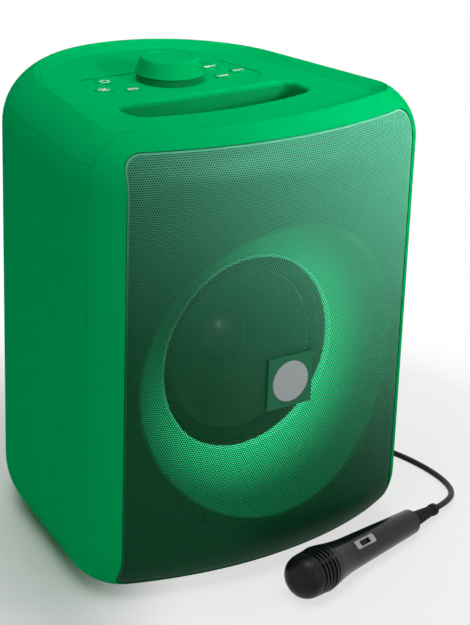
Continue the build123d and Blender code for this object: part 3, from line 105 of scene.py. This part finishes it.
# the coil's turns, from the outlet at its left to the inlet at its front
def coilPoints():
    middle, low, high = coil["radius"], coil["low"], coil["high"]
    wide, tight = middle + coil["pitch"], middle - coil["pitch"]
    turns = [(wide, high), (middle, high), (tight, high), (tight, low), (middle, low), (wide, low)]
    steps, (centreX, centreY) = coil["steps"], coil["centre"]
    step = 2 * math.pi / steps
    points = []
    for number in range(round(coil["outlet"] * steps), round(coil["inlet"] * steps) + 1):
        turn, into = divmod(number + coil["shift"], steps)
        share = min(1.0, into / (2 * coil["shift"]))
        share = share * share * (3 - 2 * share)
        last, following = turns[max(turn - 1, 0)], turns[turn]
        radius, height = (old + (new - old) * share for old, new in zip(last, following))
        radius /= math.cos(step / 2) ** coil["swell"]
        across, along = radius * math.cos(number * step), radius * math.sin(number * step)
        points.append((centreX + across, centreY + along, height))
    return points


cordPoints = plugRoute + coilPoints() + floorRoute
cordCurve = bpy.data.curves.new("micCord", "CURVE")
cordCurve.dimensions = "3D"
spline = cordCurve.splines.new("NURBS")
spline.points.add(len(cordPoints) - 1)
for point, place in zip(spline.points, cordPoints):
    point.co = (*place, 1.0)
    point.radius = cordShape["radius"]
spline.order_u = cordShape["order"]
spline.use_endpoint_u = True
spline.resolution_u = cordShape["stepsAlong"]
cordCurve.bevel_depth = 1.0  # the points' own radius gives the thickness
cordCurve.bevel_resolution = cordShape["stepsRound"]
cord = addObject("micCord", cordCurve)
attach(cord, "cabinet")
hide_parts("mic_cord", "mic_cord_lead", "mic_cord_coil")
print("cord laid")


# materials
# the scene-linear colour of three sRGB values from 0 to 255
def linear(red, green, blue):
    values = []
    for value in (red, green, blue):
        share = value / 255
        values.append(share / 12.92 if share <= 0.04045 else ((share + 0.055) / 1.055) ** 2.4)
    return (*values, 1.0)


# a new node whose inputs are plain values or other nodes' outputs
def addNode(tree, kind, inputs):
    return feed(tree, tree.nodes.new(kind), inputs)


# gives a node its inputs
def feed(tree, node, inputs):
    for socket, value in inputs.items():
        if isinstance(value, bpy.types.NodeSocket):
            tree.links.new(value, node.inputs[socket])
        else:
            node.inputs[socket].default_value = value
    return node


# a point's place on the object
def objectPlace(tree):
    return addNode(tree, "ShaderNodeTexCoord", {}).outputs["Object"]


# the sum, product or larger one of two numbers
def mathOf(tree, operation, first, second):
    node = tree.nodes.new("ShaderNodeMath")
    node.operation = operation
    return feed(tree, node, {0: first, 1: second}).outputs["Value"]


# the same with vectors, which gives a number for a length or a dot product
def vectorOf(tree, operation, first, *second):
    node = tree.nodes.new("ShaderNodeVectorMath")
    node.operation = operation
    feed(tree, node, dict(enumerate((first, *second))))
    return node.outputs["Value" if operation in ("LENGTH", "DOT_PRODUCT") else "Vector"]


# passes smoothly from one value to another while the input goes from low to high
def passage(tree, value, low, high, before=0.0, after=1.0):
    node = tree.nodes.new("ShaderNodeMapRange")
    node.interpolation_type = "SMOOTHSTEP"
    inputs = {"Value": value, "From Min": low, "From Max": high, "To Min": before, "To Max": after}
    return feed(tree, node, inputs).outputs["Result"]


# passes from the first colour to the second as the factor goes from 0 to 1
def colourMix(tree, factor, first, second):
    node = tree.nodes.new("ShaderNodeMix")
    node.data_type = "RGBA"
    return feed(tree, node, {"Factor": factor, "A": first, "B": second}).outputs["Result"]


# a new node material with plain values, and its shader
def principled(name, colour, roughness, metallic=0.0, gloss=0.5):
    material = bpy.data.materials.new(name)
    material.use_nodes = True
    shader = material.node_tree.nodes["Principled BSDF"]
    shader.inputs["Base Color"].default_value = colour
    shader.inputs["Roughness"].default_value = roughness
    shader.inputs["Metallic"].default_value = metallic
    shader.inputs["Specular IOR Level"].default_value = gloss
    return material, shader


grain = {"detail": 4.0, "fineScale": 2500.0, "height": 0.0001}


# a material whose colour varies by spread, and whose surface can have a fine grain
def grained(name, colour, roughness, spread, scale, bump=0.0, metallic=0.0, gloss=0.5):
    colour = linear(*colour)
    material, shader = principled(name, colour, roughness, metallic, gloss)
    tree = material.node_tree
    place = objectPlace(tree)
    patches = {"Vector": place, "Scale": scale, "Detail": grain["detail"]}
    varied = addNode(tree, "ShaderNodeTexNoise", patches).outputs["Fac"]
    darker = (*(value * (1 - spread) for value in colour[:3]), 1.0)
    lighter = (*(min(1.0, value * (1 + spread)) for value in colour[:3]), 1.0)
    tree.links.new(colourMix(tree, varied, darker, lighter), shader.inputs["Base Color"])
    if bump:
        fine = addNode(tree, "ShaderNodeTexNoise", {"Vector": place, "Scale": grain["fineScale"]})
        relief = {"Height": fine.outputs["Fac"], "Strength": bump, "Distance": grain["height"]}
        raised = addNode(tree, "ShaderNodeBump", relief)
        tree.links.new(raised.outputs["Normal"], shader.inputs["Normal"])
    return material


# a sheet whose colour passes from a painted shade to a painted highlight along a slope, in place of
# how light falls on it
def paintedLightSlope(name, shadeColour, highlightColour, roughness, slope, first, last, metallic=0.0, gloss=0.1):
    shadeColour, highlightColour = linear(*shadeColour), linear(*highlightColour)
    material, shader = principled(name, shadeColour, roughness, metallic, gloss)
    tree = material.node_tree
    share = passage(tree, vectorOf(tree, "DOT_PRODUCT", objectPlace(tree), slope), first, last)
    tree.links.new(colourMix(tree, share, shadeColour, highlightColour), shader.inputs["Base Color"])
    return material


glow = {
    "axis": (0.0, 0.0, 0.1825),  # on the woofer's axis
    "near": 0.084, "far": 0.134,  # brightest at the first radius, faded at the second
    "lean": (0.45, 0.0, -0.42), "even": 0.62,  # painted brighter at the lower right, and this much all round
}


# a material that glows round the woofer, where rest is the share that is left far from it; the fade
# and the lean are painted light, and on the dish, which is no lamp, all of its glow is painted
# light from the LED ring
def lit(name, colour, glowColour, strength, rest, roughness=0.4, gloss=0.2):
    material, shader = principled(name, linear(*colour), roughness, gloss=gloss)
    tree = material.node_tree
    flat = vectorOf(tree, "MULTIPLY", objectPlace(tree), (1.0, 0.0, 1.0))
    spoke = vectorOf(tree, "SUBTRACT", flat, glow["axis"])
    fade = passage(tree, vectorOf(tree, "LENGTH", spoke), glow["near"], glow["far"], 1.0, rest)
    lean = vectorOf(tree, "DOT_PRODUCT", vectorOf(tree, "NORMALIZE", spoke), glow["lean"])
    share = mathOf(tree, "MULTIPLY", fade, mathOf(tree, "ADD", lean, glow["even"]))
    tree.links.new(mathOf(tree, "MULTIPLY", share, strength), shader.inputs["Emission Strength"])
    shader.inputs["Emission Color"].default_value = linear(*glowColour)
    return material


# colours are sRGB values; in grained ones the next numbers are the roughness and the spread
finishes = {
    "shell": grained("shellGreen", (0, 178, 97), 0.42, 0.03, scale=12, bump=0.1, gloss=0.0),
    # the handle cup is a darker green than the shell: painted shade in the recess
    "cup": grained("cupGreenPaintedShade", (0, 150, 80), 0.5, 0.03, scale=12, bump=0.1, gloss=0.07),
    "panel": grained("panelGreen", (8, 92, 56), 0.5, 0.03, scale=12, gloss=0.2),
    "knob": grained("knobGreen", (0, 180, 98), 0.38, 0.02, scale=20, bump=0.06, gloss=0.0),
    # the plinth is a darker green than the shell: painted shade under the knob's overhang
    "plinth": grained("plinthGreenPaintedShade", (0, 130, 70), 0.5, 0.03, scale=20, gloss=0.07),
    "badge": grained("badgeGreen", (22, 108, 72), 0.45, 0.03, scale=30, gloss=0.2),
    "disc": grained("discGrey", (172, 180, 178), 0.45, 0.02, scale=30, gloss=0.2),
    "black": grained("blackPlastic", (22, 22, 23), 0.45, 0.08, scale=60, bump=0.15, gloss=0.2),
    "gloss": grained("blackGloss", (13, 13, 14), 0.22, 0.06, scale=40, gloss=0.25),
    "cage": grained("cageBlack", (15, 15, 16), 0.35, 0.08, scale=80, bump=0.05, gloss=0.2),
    "grey": grained("paleGrey", (190, 194, 198), 0.4, 0.03, scale=60),
    "cord": grained("cordBlack", (18, 18, 19), 0.48, 0.08, scale=90, bump=0.05, gloss=0.2),
    "cap": grained("capGreen", (10, 40, 27), 0.3, 0.08, scale=140),
    "rubber": grained("softRubber", (20, 22, 21), 0.6, 0.08, scale=60, bump=0.1, gloss=0.2),
    "wood": grained("fibreboard", (160, 124, 86), 0.8, 0.12, scale=200, bump=0.3),
    "steel": grained("zincSteel", (170, 172, 174), 0.32, 0.04, scale=120, metallic=1.0),
    "nickel": grained("nickel", (200, 200, 200), 0.16, 0.03, scale=120, metallic=1.0),
    "ferrite": grained("ferrite", (52, 52, 55), 0.7, 0.1, scale=120, bump=0.2),
    "copper": grained("woundWire", (180, 120, 70), 0.4, 0.1, scale=200, metallic=1.0),
    "cloth": grained("spiderCloth", (190, 160, 90), 0.85, 0.1, scale=300, bump=0.3),
    "circuit": grained("circuitGreen", (16, 80, 46), 0.45, 0.1, scale=150),
    "battery": grained("batteryWrap", (40, 70, 140), 0.4, 0.05, scale=40),
    "ink": grained("symbolWhite", (214, 240, 226), 0.6, 0.02, scale=200, gloss=0.1),
    "tie": grained("tieWhite", (214, 214, 210), 0.7, 0.04, scale=200, bump=0.2),
    # the grille is painted darker at the lower left and lighter at the upper right: painted shade
    # and a painted highlight
    "mesh": paintedLightSlope("meshGreenPaintedLight", (16, 90, 54), (112, 214, 174), 0.48,
                   slope=(0.7, 0.0, 1.0), first=0.08, last=0.50, metallic=0.2),
    # the cone is painted lighter towards its bottom: a painted reflection
    "cone": paintedLightSlope("coneGreenPaintedLight", (26, 74, 50), (92, 120, 90), 0.55,
                   slope=(0.0, 0.0, -1.0), first=-0.19, last=-0.12),
    # the dish's glow is painted light from the LED ring
    "dish": lit("dishGreenPaintedGlow", (20, 130, 82), (44, 232, 150), strength=1.35, rest=0.05),
    "diffuser": lit("diffuserLit", (120, 200, 165), (60, 235, 160), strength=1.44, rest=0.5),
}
wear = {
    "shell": ["front_frame", "rear_shell", "base_pan", "top_cover", "control_panel", "power_button",
              "light_button", "source_button", "mic_button", "next_button", "back_button"],
    "cup": ["handle_cup"],
    "panel": ["front_panel"],
    "mesh": ["front_grille"],
    "dish": ["light_dish"],
    "diffuser": ["light_diffuser"],
    "knob": ["volume_knob"],
    "plinth": ["knob_plinth"],
    "badge": ["badge_plate"],
    "disc": ["badge_disc"],
    "black": ["rear_panel", "mic_jack", "instrument_jack", "aux_jack", "rocker_bezel", "bass_port",
              "mic_capsule", "mic_switch", "mic_plug_body"],
    "gloss": ["power_rocker", "mic_collar", "mic_handle"],
    "cage": ["mic_head"],
    "grey": ["mic_switch_plate"],
    "cone": ["woofer_cone"],
    "cap": ["dust_cap"],
    "rubber": ["rubber_feet", "woofer_surround", "mic_relief"],
    "wood": ["speaker_board"],
    "steel": ["knob_encoder", "encoder_shaft", "base_screws", "woofer_basket", "woofer_screws",
              "usb_port", "charge_port"],
    "nickel": ["mic_plug_pin"],
    "ferrite": ["woofer_magnet"],
    "copper": ["voice_coil", "board_parts"],
    "cloth": ["woofer_spider"],
    "circuit": ["light_ring", "button_board", "main_board"],
    "battery": ["battery_pack"],
    "tie": ["mic_cord_tie"],
}
sharpAngle = 28  # degrees; flatter edges are shaded smooth


# the object wears one finish
def dress(thing, finish):
    thing.data.materials.clear()
    thing.data.materials.append(finishes[finish])


for finish, names in wear.items():
    for name in names:
        dress(nodes[name], finish)
dress(cord, "cord")
for node in nodes.values():
    node.data.shade_smooth()
    node.data.set_sharp_from_angle(angle=math.radians(sharpAngle))
print("materials set")

# grille: a perforated sheet wrapped on the cabinet's bowed front
cabinet = {
    "cornerX": 0.113, "cornerRadius": 0.051, "frontRadius": 0.375, "frontY": -0.1605, "top": 0.4,
    "topRounding": 0.048, "bottomRounding": 0.045,
}
frontCentre = cabinet["frontRadius"] + cabinet["frontY"]
cornerReach = cabinet["frontRadius"] - cabinet["cornerRadius"]
cornerY = frontCentre - math.sqrt(cornerReach**2 - cabinet["cornerX"] ** 2)
cornerStart = math.asin(cabinet["cornerX"] / cornerReach)
straightTop = cabinet["top"] - cabinet["topRounding"]
straightBottom = cabinet["bottomRounding"]
window = {"halfWidth": 0.1398, "bottom": 0.0097, "top": 0.3818, "corner": 0.014, "border": 0.0014}
perforation = {
    "pitch": 0.0021, "holeRadius": 0.00088, "depth": 0.0009, "sheet": 0.0006,
    "firstRow": 0.002, "rows": 219, "firstColumn": -0.155, "columns": 149, "strips": 5,
}
rim = {
    "outer": 0.0003, "inner": 0.0018,  # its two edges, in from the window
    "depth": 0.0008, "fold": 0.0052,  # of its face and of its folded edge
    "arc": 10, "straight": 60,  # steps at a corner and cuts in a straight side
    "longSide": 0.05,  # a side longer than this is straight
}


# the front's height and inset where a line drawn up it has this length
def climb(up, depth):
    if up > straightTop:
        turned = (up - straightTop) / cabinet["topRounding"]
        radius = cabinet["topRounding"] - depth
        return straightTop + radius * math.sin(turned), depth + radius * (1 - math.cos(turned))
    if up < straightBottom:
        turned = (straightBottom - up) / cabinet["bottomRounding"]
        radius = cabinet["bottomRounding"] - depth
        return straightBottom - radius * math.sin(turned), depth + radius * (1 - math.cos(turned))
    return up, depth


# a point measured along the bow and up the front, depth inside the skin
def wrapAlong(along, up, depth):
    height, inset = climb(up, depth)
    side, reach = math.copysign(1.0, along), abs(along)
    edge = cabinet["frontRadius"] * cornerStart
    if reach < edge:
        front, bow = cabinet["frontRadius"] - inset, reach / cabinet["frontRadius"]
        return (side * front * math.sin(bow), frontCentre - front * math.cos(bow), height)
    corner = cabinet["cornerRadius"] - inset
    bow = cornerStart + (reach - edge) / cabinet["cornerRadius"]
    across = cabinet["cornerX"] + corner * math.sin(bow)
    return (side * across, cornerY - corner * math.cos(bow), height)


# a point of the front straight behind this place, depth inside the skin
def wrapStraight(across, height, depth):
    inset = depth
    if height > straightTop:
        radius = cabinet["topRounding"] - depth
        inset += radius - math.sqrt(radius**2 - (height - straightTop) ** 2)
    if height < straightBottom:
        radius = cabinet["bottomRounding"] - depth
        inset += radius - math.sqrt(radius**2 - (straightBottom - height) ** 2)
    reach, front = abs(across), cabinet["frontRadius"] - inset
    if reach < front * math.sin(cornerStart):
        return (across, frontCentre - math.sqrt(front**2 - reach**2), height)
    corner = cabinet["cornerRadius"] - inset
    return (across, cornerY - math.sqrt(corner**2 - (reach - cabinet["cornerX"]) ** 2), height)


# true where a point of the front lies inside the rounded window by its border
def insideWindow(point):
    half = window["halfWidth"] - window["border"]
    low, high = window["bottom"] + window["border"], window["top"] - window["border"]
    corner = window["corner"] - window["border"]
    awayX = abs(point[0]) - (half - corner)
    awayZ = abs(point[2] - (low + high) / 2) - ((high - low) / 2 - corner)
    return math.hypot(max(awayX, 0), max(awayZ, 0)) < corner and awayX < corner and awayZ < corner


# a new object from a bmesh, which it frees
def addPiece(name, bm, finish, body):
    mesh = bpy.data.meshes.new(name)
    bm.to_mesh(mesh)
    bm.free()
    made = addObject(name, mesh)
    dress(made, finish)
    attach(made, body)
    return made


# what an operator made, sorted out by kind
def only(kind, made):
    return [item for item in made if isinstance(item, kind)]


# turns what was made round the drawing's centre, by an angle in degrees
def swing(bm, degrees, made):
    matrix = Matrix.Rotation(math.radians(degrees), 3, "Z")
    bmesh.ops.rotate(bm, cent=(0, 0, 0), matrix=matrix, verts=made)


# one six-sided cell of the sheet with its hole and the hole's wall; -Z is depth
pitch = perforation["pitch"]
cellMesh = bpy.data.meshes.new("grilleCell")
bm = bmesh.new()
bmesh.ops.create_circle(bm, cap_ends=True, segments=6, radius=pitch / math.sqrt(3))
land = pitch / 2 - perforation["holeRadius"] * math.cos(math.radians(30))
bmesh.ops.inset_individual(bm, faces=bm.faces[:], thickness=land, use_even_offset=True)
hole = min(bm.faces, key=lambda face: face.calc_center_median().length)
walled = bmesh.ops.extrude_face_region(bm, geom=[hole])["geom"]
bmesh.ops.translate(bm, vec=(0, 0, -perforation["sheet"]), verts=only(bmesh.types.BMVert, walled))
closed = only(bmesh.types.BMFace, walled) + ([hole] if hole.is_valid else [])
bmesh.ops.delete(bm, geom=closed, context="FACES_ONLY")
bmesh.ops.translate(bm, vec=(0, 0, -perforation["depth"]), verts=bm.verts[:])
bm.to_mesh(cellMesh)
cellSize = len(bm.verts)
bm.free()

# grille: its cells in staggered rows, in a few strips
centres = []
for row in range(perforation["rows"]):
    up = perforation["firstRow"] + row * pitch * math.sqrt(3) / 2
    for column in range(perforation["columns"]):
        along = perforation["firstColumn"] + column * pitch + 0.5 * pitch * (row % 2)
        if insideWindow(wrapAlong(along, up, perforation["depth"])):
            centres.append((along, up))
parts = perforation["strips"]
stripEnds = [part * len(centres) // parts for part in range(parts + 1)]
strips = []
for start, end in zip(stripEnds, stripEnds[1:]):
    bm = bmesh.new()
    for centre in centres[start:end]:
        bm.from_mesh(cellMesh)
    bm.verts.ensure_lookup_table()
    for number, vertex in enumerate(bm.verts):
        along, up = centres[start + number // cellSize]
        vertex.co = wrapAlong(vertex.co.x + along, vertex.co.y + up, -vertex.co.z)
    print("grille strip", len(strips), len(bm.faces) * 2, "triangles")
    strips.append(addPiece(f"grilleMesh{len(strips)}", bm, "mesh", "cabinet"))
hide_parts("front_grille")
bpy.data.meshes.remove(cellMesh)

# grille: its plain rim, drawn flat as a rounded frame, then folded back at its outer edge
bm = bmesh.new()
low, high = window["bottom"] + rim["outer"], window["top"] - rim["outer"]
width, middleZ = 2 * (window["halfWidth"] - rim["outer"]), (low + high) / 2
bmesh.ops.create_grid(bm, x_segments=1, y_segments=1, size=0.5)
bmesh.ops.scale(bm, vec=(width, high - low, 1), verts=bm.verts[:])
bmesh.ops.translate(bm, vec=(0, middleZ, -rim["depth"]), verts=bm.verts[:])
bmesh.ops.bevel(bm, geom=bm.verts[:], affect="VERTICES", offset=window["corner"] - rim["outer"],
                offset_type="OFFSET", segments=rim["arc"], profile=0.5, material=-1)
bmesh.ops.inset_individual(bm, faces=bm.faces[:], thickness=rim["inner"] - rim["outer"],
                           use_even_offset=True)
inside = max(bm.faces, key=lambda face: face.calc_area())
bmesh.ops.delete(bm, geom=[inside], context="FACES_ONLY")
longEdges = [edge for edge in bm.edges if edge.calc_length() > rim["longSide"]]
bmesh.ops.subdivide_edges(bm, edges=longEdges, cuts=rim["straight"], use_grid_fill=True)

# the frame's edges on either side of its middle line, and how far each side folds back
middleInset = (rim["outer"] + rim["inner"]) / 2
rounding = window["corner"] - middleInset
straightX = window["halfWidth"] - middleInset - rounding
straightZ = (high - low) / 2 - rim["inner"] / 2 - rounding
sides = {True: [], False: []}
for edge in bm.edges:
    if edge.is_boundary:
        place = (edge.verts[0].co + edge.verts[1].co) / 2
        away = max(abs(place.x) - straightX, 0), max(abs(place.y - middleZ) - straightZ, 0)
        sides[math.hypot(*away) > rounding].append(edge)
for isOuter, drop in ((True, rim["fold"] - rim["depth"]), (False, perforation["sheet"])):
    folded = bmesh.ops.extrude_edge_only(bm, edges=sides[isOuter])["geom"]
    bmesh.ops.translate(bm, vec=(0, 0, -drop), verts=only(bmesh.types.BMVert, folded))
bmesh.ops.recalc_face_normals(bm, faces=bm.faces[:])
if sum(face.normal.z for face in bm.faces) < 0:
    bmesh.ops.reverse_faces(bm, faces=bm.faces[:])
for vertex in bm.verts:
    vertex.co = wrapStraight(vertex.co.x, vertex.co.y, -vertex.co.z)
addPiece("grilleRim", bm, "mesh", "cabinet")

# symbols on the keys, each drawn in millimetres round the key's centre
keys = {"topZ": 0.3882, "lift": 0.00004, "knobY": 0.0235, "roundSteps": 24}


# a rectangle about (x, y), narrower at its +X end by taper, then turned about the key's centre
def addBar(bm, x, y, width, height, turned=0.0, taper=1.0):
    made = bmesh.ops.create_grid(bm, x_segments=1, y_segments=1, size=0.5)["verts"]
    for vertex in made:
        if vertex.co.x > 0:
            vertex.co.y *= taper
    bmesh.ops.scale(bm, vec=(width, height, 1), verts=made)
    bmesh.ops.translate(bm, vec=(x, y, 0), verts=made)
    swing(bm, turned, made)


# a filled circle about (x, y)
def addDisc(bm, x, y, radius):
    steps = keys["roundSteps"]
    made = bmesh.ops.create_circle(bm, cap_ends=True, segments=steps, radius=radius)["verts"]
    bmesh.ops.translate(bm, vec=(x, y, 0), verts=made)


# a triangle about (x, y) that points to +X for a positive width
def addTriangle(bm, x, y, width, height):
    made = bmesh.ops.create_circle(bm, cap_ends=True, segments=3, radius=1)["verts"]
    swing(bm, -90, made)
    bmesh.ops.scale(bm, vec=(width / 1.5, height / math.sqrt(3), 1), verts=made)
    bmesh.ops.translate(bm, vec=(x - width / 6, y, 0), verts=made)


# a curved band round the key's centre, between two angles in degrees
def addArc(bm, radius, width, first, last):
    ends = [bm.verts.new((radius + side * width / 2, 0, 0)) for side in (-1, 1)]
    edge = bm.edges.new(ends)
    swing(bm, first, ends)
    bmesh.ops.spin(bm, geom=[edge], cent=(0, 0, 0), axis=(0, 0, 1),
                   angle=math.radians(last - first), steps=keys["roundSteps"])


rays = [(addBar, 0, 4.1, 1.0, 2.0, 45 * number) for number in range(8)]
symbols = {
    "power_button": ((-53.5, 17.2), [(addArc, 3.6, 1.1, 125, 415), (addBar, 0, 3.4, 1.1, 3.4)]),
    "light_button": ((-67.7, -4.8), [(addDisc, 0, 0, 2.0), *rays]),
    "source_button": ((-45.4, -13.8), [
        (addBar, 0, 0, 5.0, 4.4), (addDisc, -2.6, -0.3, 2.3), (addDisc, 2.6, -0.3, 2.3),
    ]),
    "mic_button": ((53.5, 17.2), [
        (addDisc, -4.0, -0.6, 2.3), (addBar, 1.7, 0.1, 8.2, 3.0, 0.0, 0.37),
        (addBar, 5.6, 0.8, 0.8, 3.4),
    ]),
    "next_button": ((67.7, -4.8), [
        (addTriangle, -2.9, 0, 4.2, 4.4), (addTriangle, 1.3, 0, 4.2, 4.4),
        (addBar, 4.2, 0, 1.0, 4.4),
    ]),
    "back_button": ((45.4, -13.8), [
        (addBar, -4.2, 0, 1.0, 4.4), (addTriangle, -1.3, 0, -4.2, 4.4),
        (addTriangle, 2.9, 0, -4.2, 4.4),
    ]),
}
for name, ((x, y), shapes) in symbols.items():
    bm = bmesh.new()
    for shape, *values in shapes:
        shape(bm, *values)
    bmesh.ops.scale(bm, vec=(0.001, 0.001, 1), verts=bm.verts[:])
    centre = (x / 1000, keys["knobY"] + y / 1000, keys["topZ"] + keys["lift"])
    bmesh.ops.translate(bm, vec=centre, verts=bm.verts[:])
    bm.normal_update()
    for face in bm.faces:
        if face.normal.z < 0:
            face.normal_flip()
    addPiece(name.replace("_button", "Symbol"), bm, "ink", name)
print("grille rim and key symbols made")

# floor and background
room = {
    "floorSize": 6.0, "floorColour": (250, 250, 252), "floorRoughness": 0.6, "fill": 0.06,
    "across": (0.817, -0.576, 0.0),  # the direction in which side is measured
    # each from where to where, and how white at both
    "side": (-0.10, 0.02, 0.0, 0.68), "distance": (0.20, 0.50, 0.0, 1.0),
}
white = (1.0, 1.0, 1.0, 1.0)


# 1 for rays from the camera, from gloss and through glass, and 0 for the rest
def seenRays(tree):
    path = addNode(tree, "ShaderNodeLightPath", {}).outputs
    seen = mathOf(tree, "MAXIMUM", path["Is Camera Ray"], path["Is Glossy Ray"])
    return mathOf(tree, "MAXIMUM", seen, path["Is Transmission Ray"])


# how far the floor is seen as plain white: less by the object's left foot, all of it far away
def whiteShare(tree):
    place = addNode(tree, "ShaderNodeNewGeometry", {}).outputs["Position"]
    side = passage(tree, vectorOf(tree, "DOT_PRODUCT", place, room["across"]), *room["side"])
    distance = passage(tree, vectorOf(tree, "LENGTH", place), *room["distance"])
    return mathOf(tree, "MAXIMUM", side, distance)


# shows the second shader instead of the first by this share
def blendShaders(tree, share, first, second, output):
    blend = addNode(tree, "ShaderNodeMixShader", {"Fac": share, 1: first, 2: second})
    tree.links.new(blend.outputs["Shader"], tree.nodes[output].inputs["Surface"])


floorMesh = bpy.data.meshes.new("floor")
bm = bmesh.new()
bmesh.ops.create_grid(bm, x_segments=1, y_segments=1, size=room["floorSize"])
bm.to_mesh(floorMesh)
bm.free()
floor = addObject("floor", floorMesh)
floorColour = linear(*room["floorColour"])
floorMaterial, floorShader = principled("floorPale", floorColour, room["floorRoughness"])
floor.data.materials.append(floorMaterial)
tree = floorMaterial.node_tree
plain = addNode(tree, "ShaderNodeEmission", {"Color": white}).outputs["Emission"]
share = mathOf(tree, "MULTIPLY", seenRays(tree), whiteShare(tree))
blendShaders(tree, share, floorShader.outputs["BSDF"], plain, "Material Output")

world = bpy.data.worlds.new("studio")
world.use_nodes = True
scene.world = world
tree = world.node_tree
background = tree.nodes["Background"]
background.inputs["Color"].default_value = white
background.inputs["Strength"].default_value = room["fill"]
seen = addNode(tree, "ShaderNodeBackground", {"Color": white, "Strength": 1.0})
blendShaders(tree, seenRays(tree), background.outputs["Background"], seen.outputs["Background"],
             "World Output")


# a square soft light at place that faces aim
def areaLight(name, place, aim, size, power, spread=180.0):
    lamp = bpy.data.lights.new(name, "AREA")
    lamp.size = size
    lamp.energy = power
    lamp.spread = math.radians(spread)
    turned = (Vector(aim) - Vector(place)).to_track_quat("-Z", "Y").to_matrix().to_4x4()
    addObject(name, lamp).matrix_world = Matrix.Translation(place) @ turned


lights = {
    "overheadLight": {"place": (0, 0, 2.4), "aim": (0, 0, 0.3), "size": 2.2, "power": 28},
    "leftLight": {"place": (-1.0, -0.5, 2.3), "aim": (0, 0, 0.35), "size": 1.0, "power": 11},
    "grilleLight": {"place": (0.35, -1.3, 0.8), "aim": (0.14, -0.12, 0.38), "size": 0.3,
                    "power": 0.36, "spread": 22},
    "frontLight": {"place": (0.3, -2.4, 0.9), "aim": (0, 0, 0.2), "size": 1.2, "power": 4},
    "rearLight": {"place": (1.1, 2.0, 1.3), "aim": (0, 0, 0.25), "size": 1.4, "power": 4},
}
for name, values in lights.items():
    areaLight(name, **values)
scene.view_settings.view_transform = "Standard"
print("lights set")
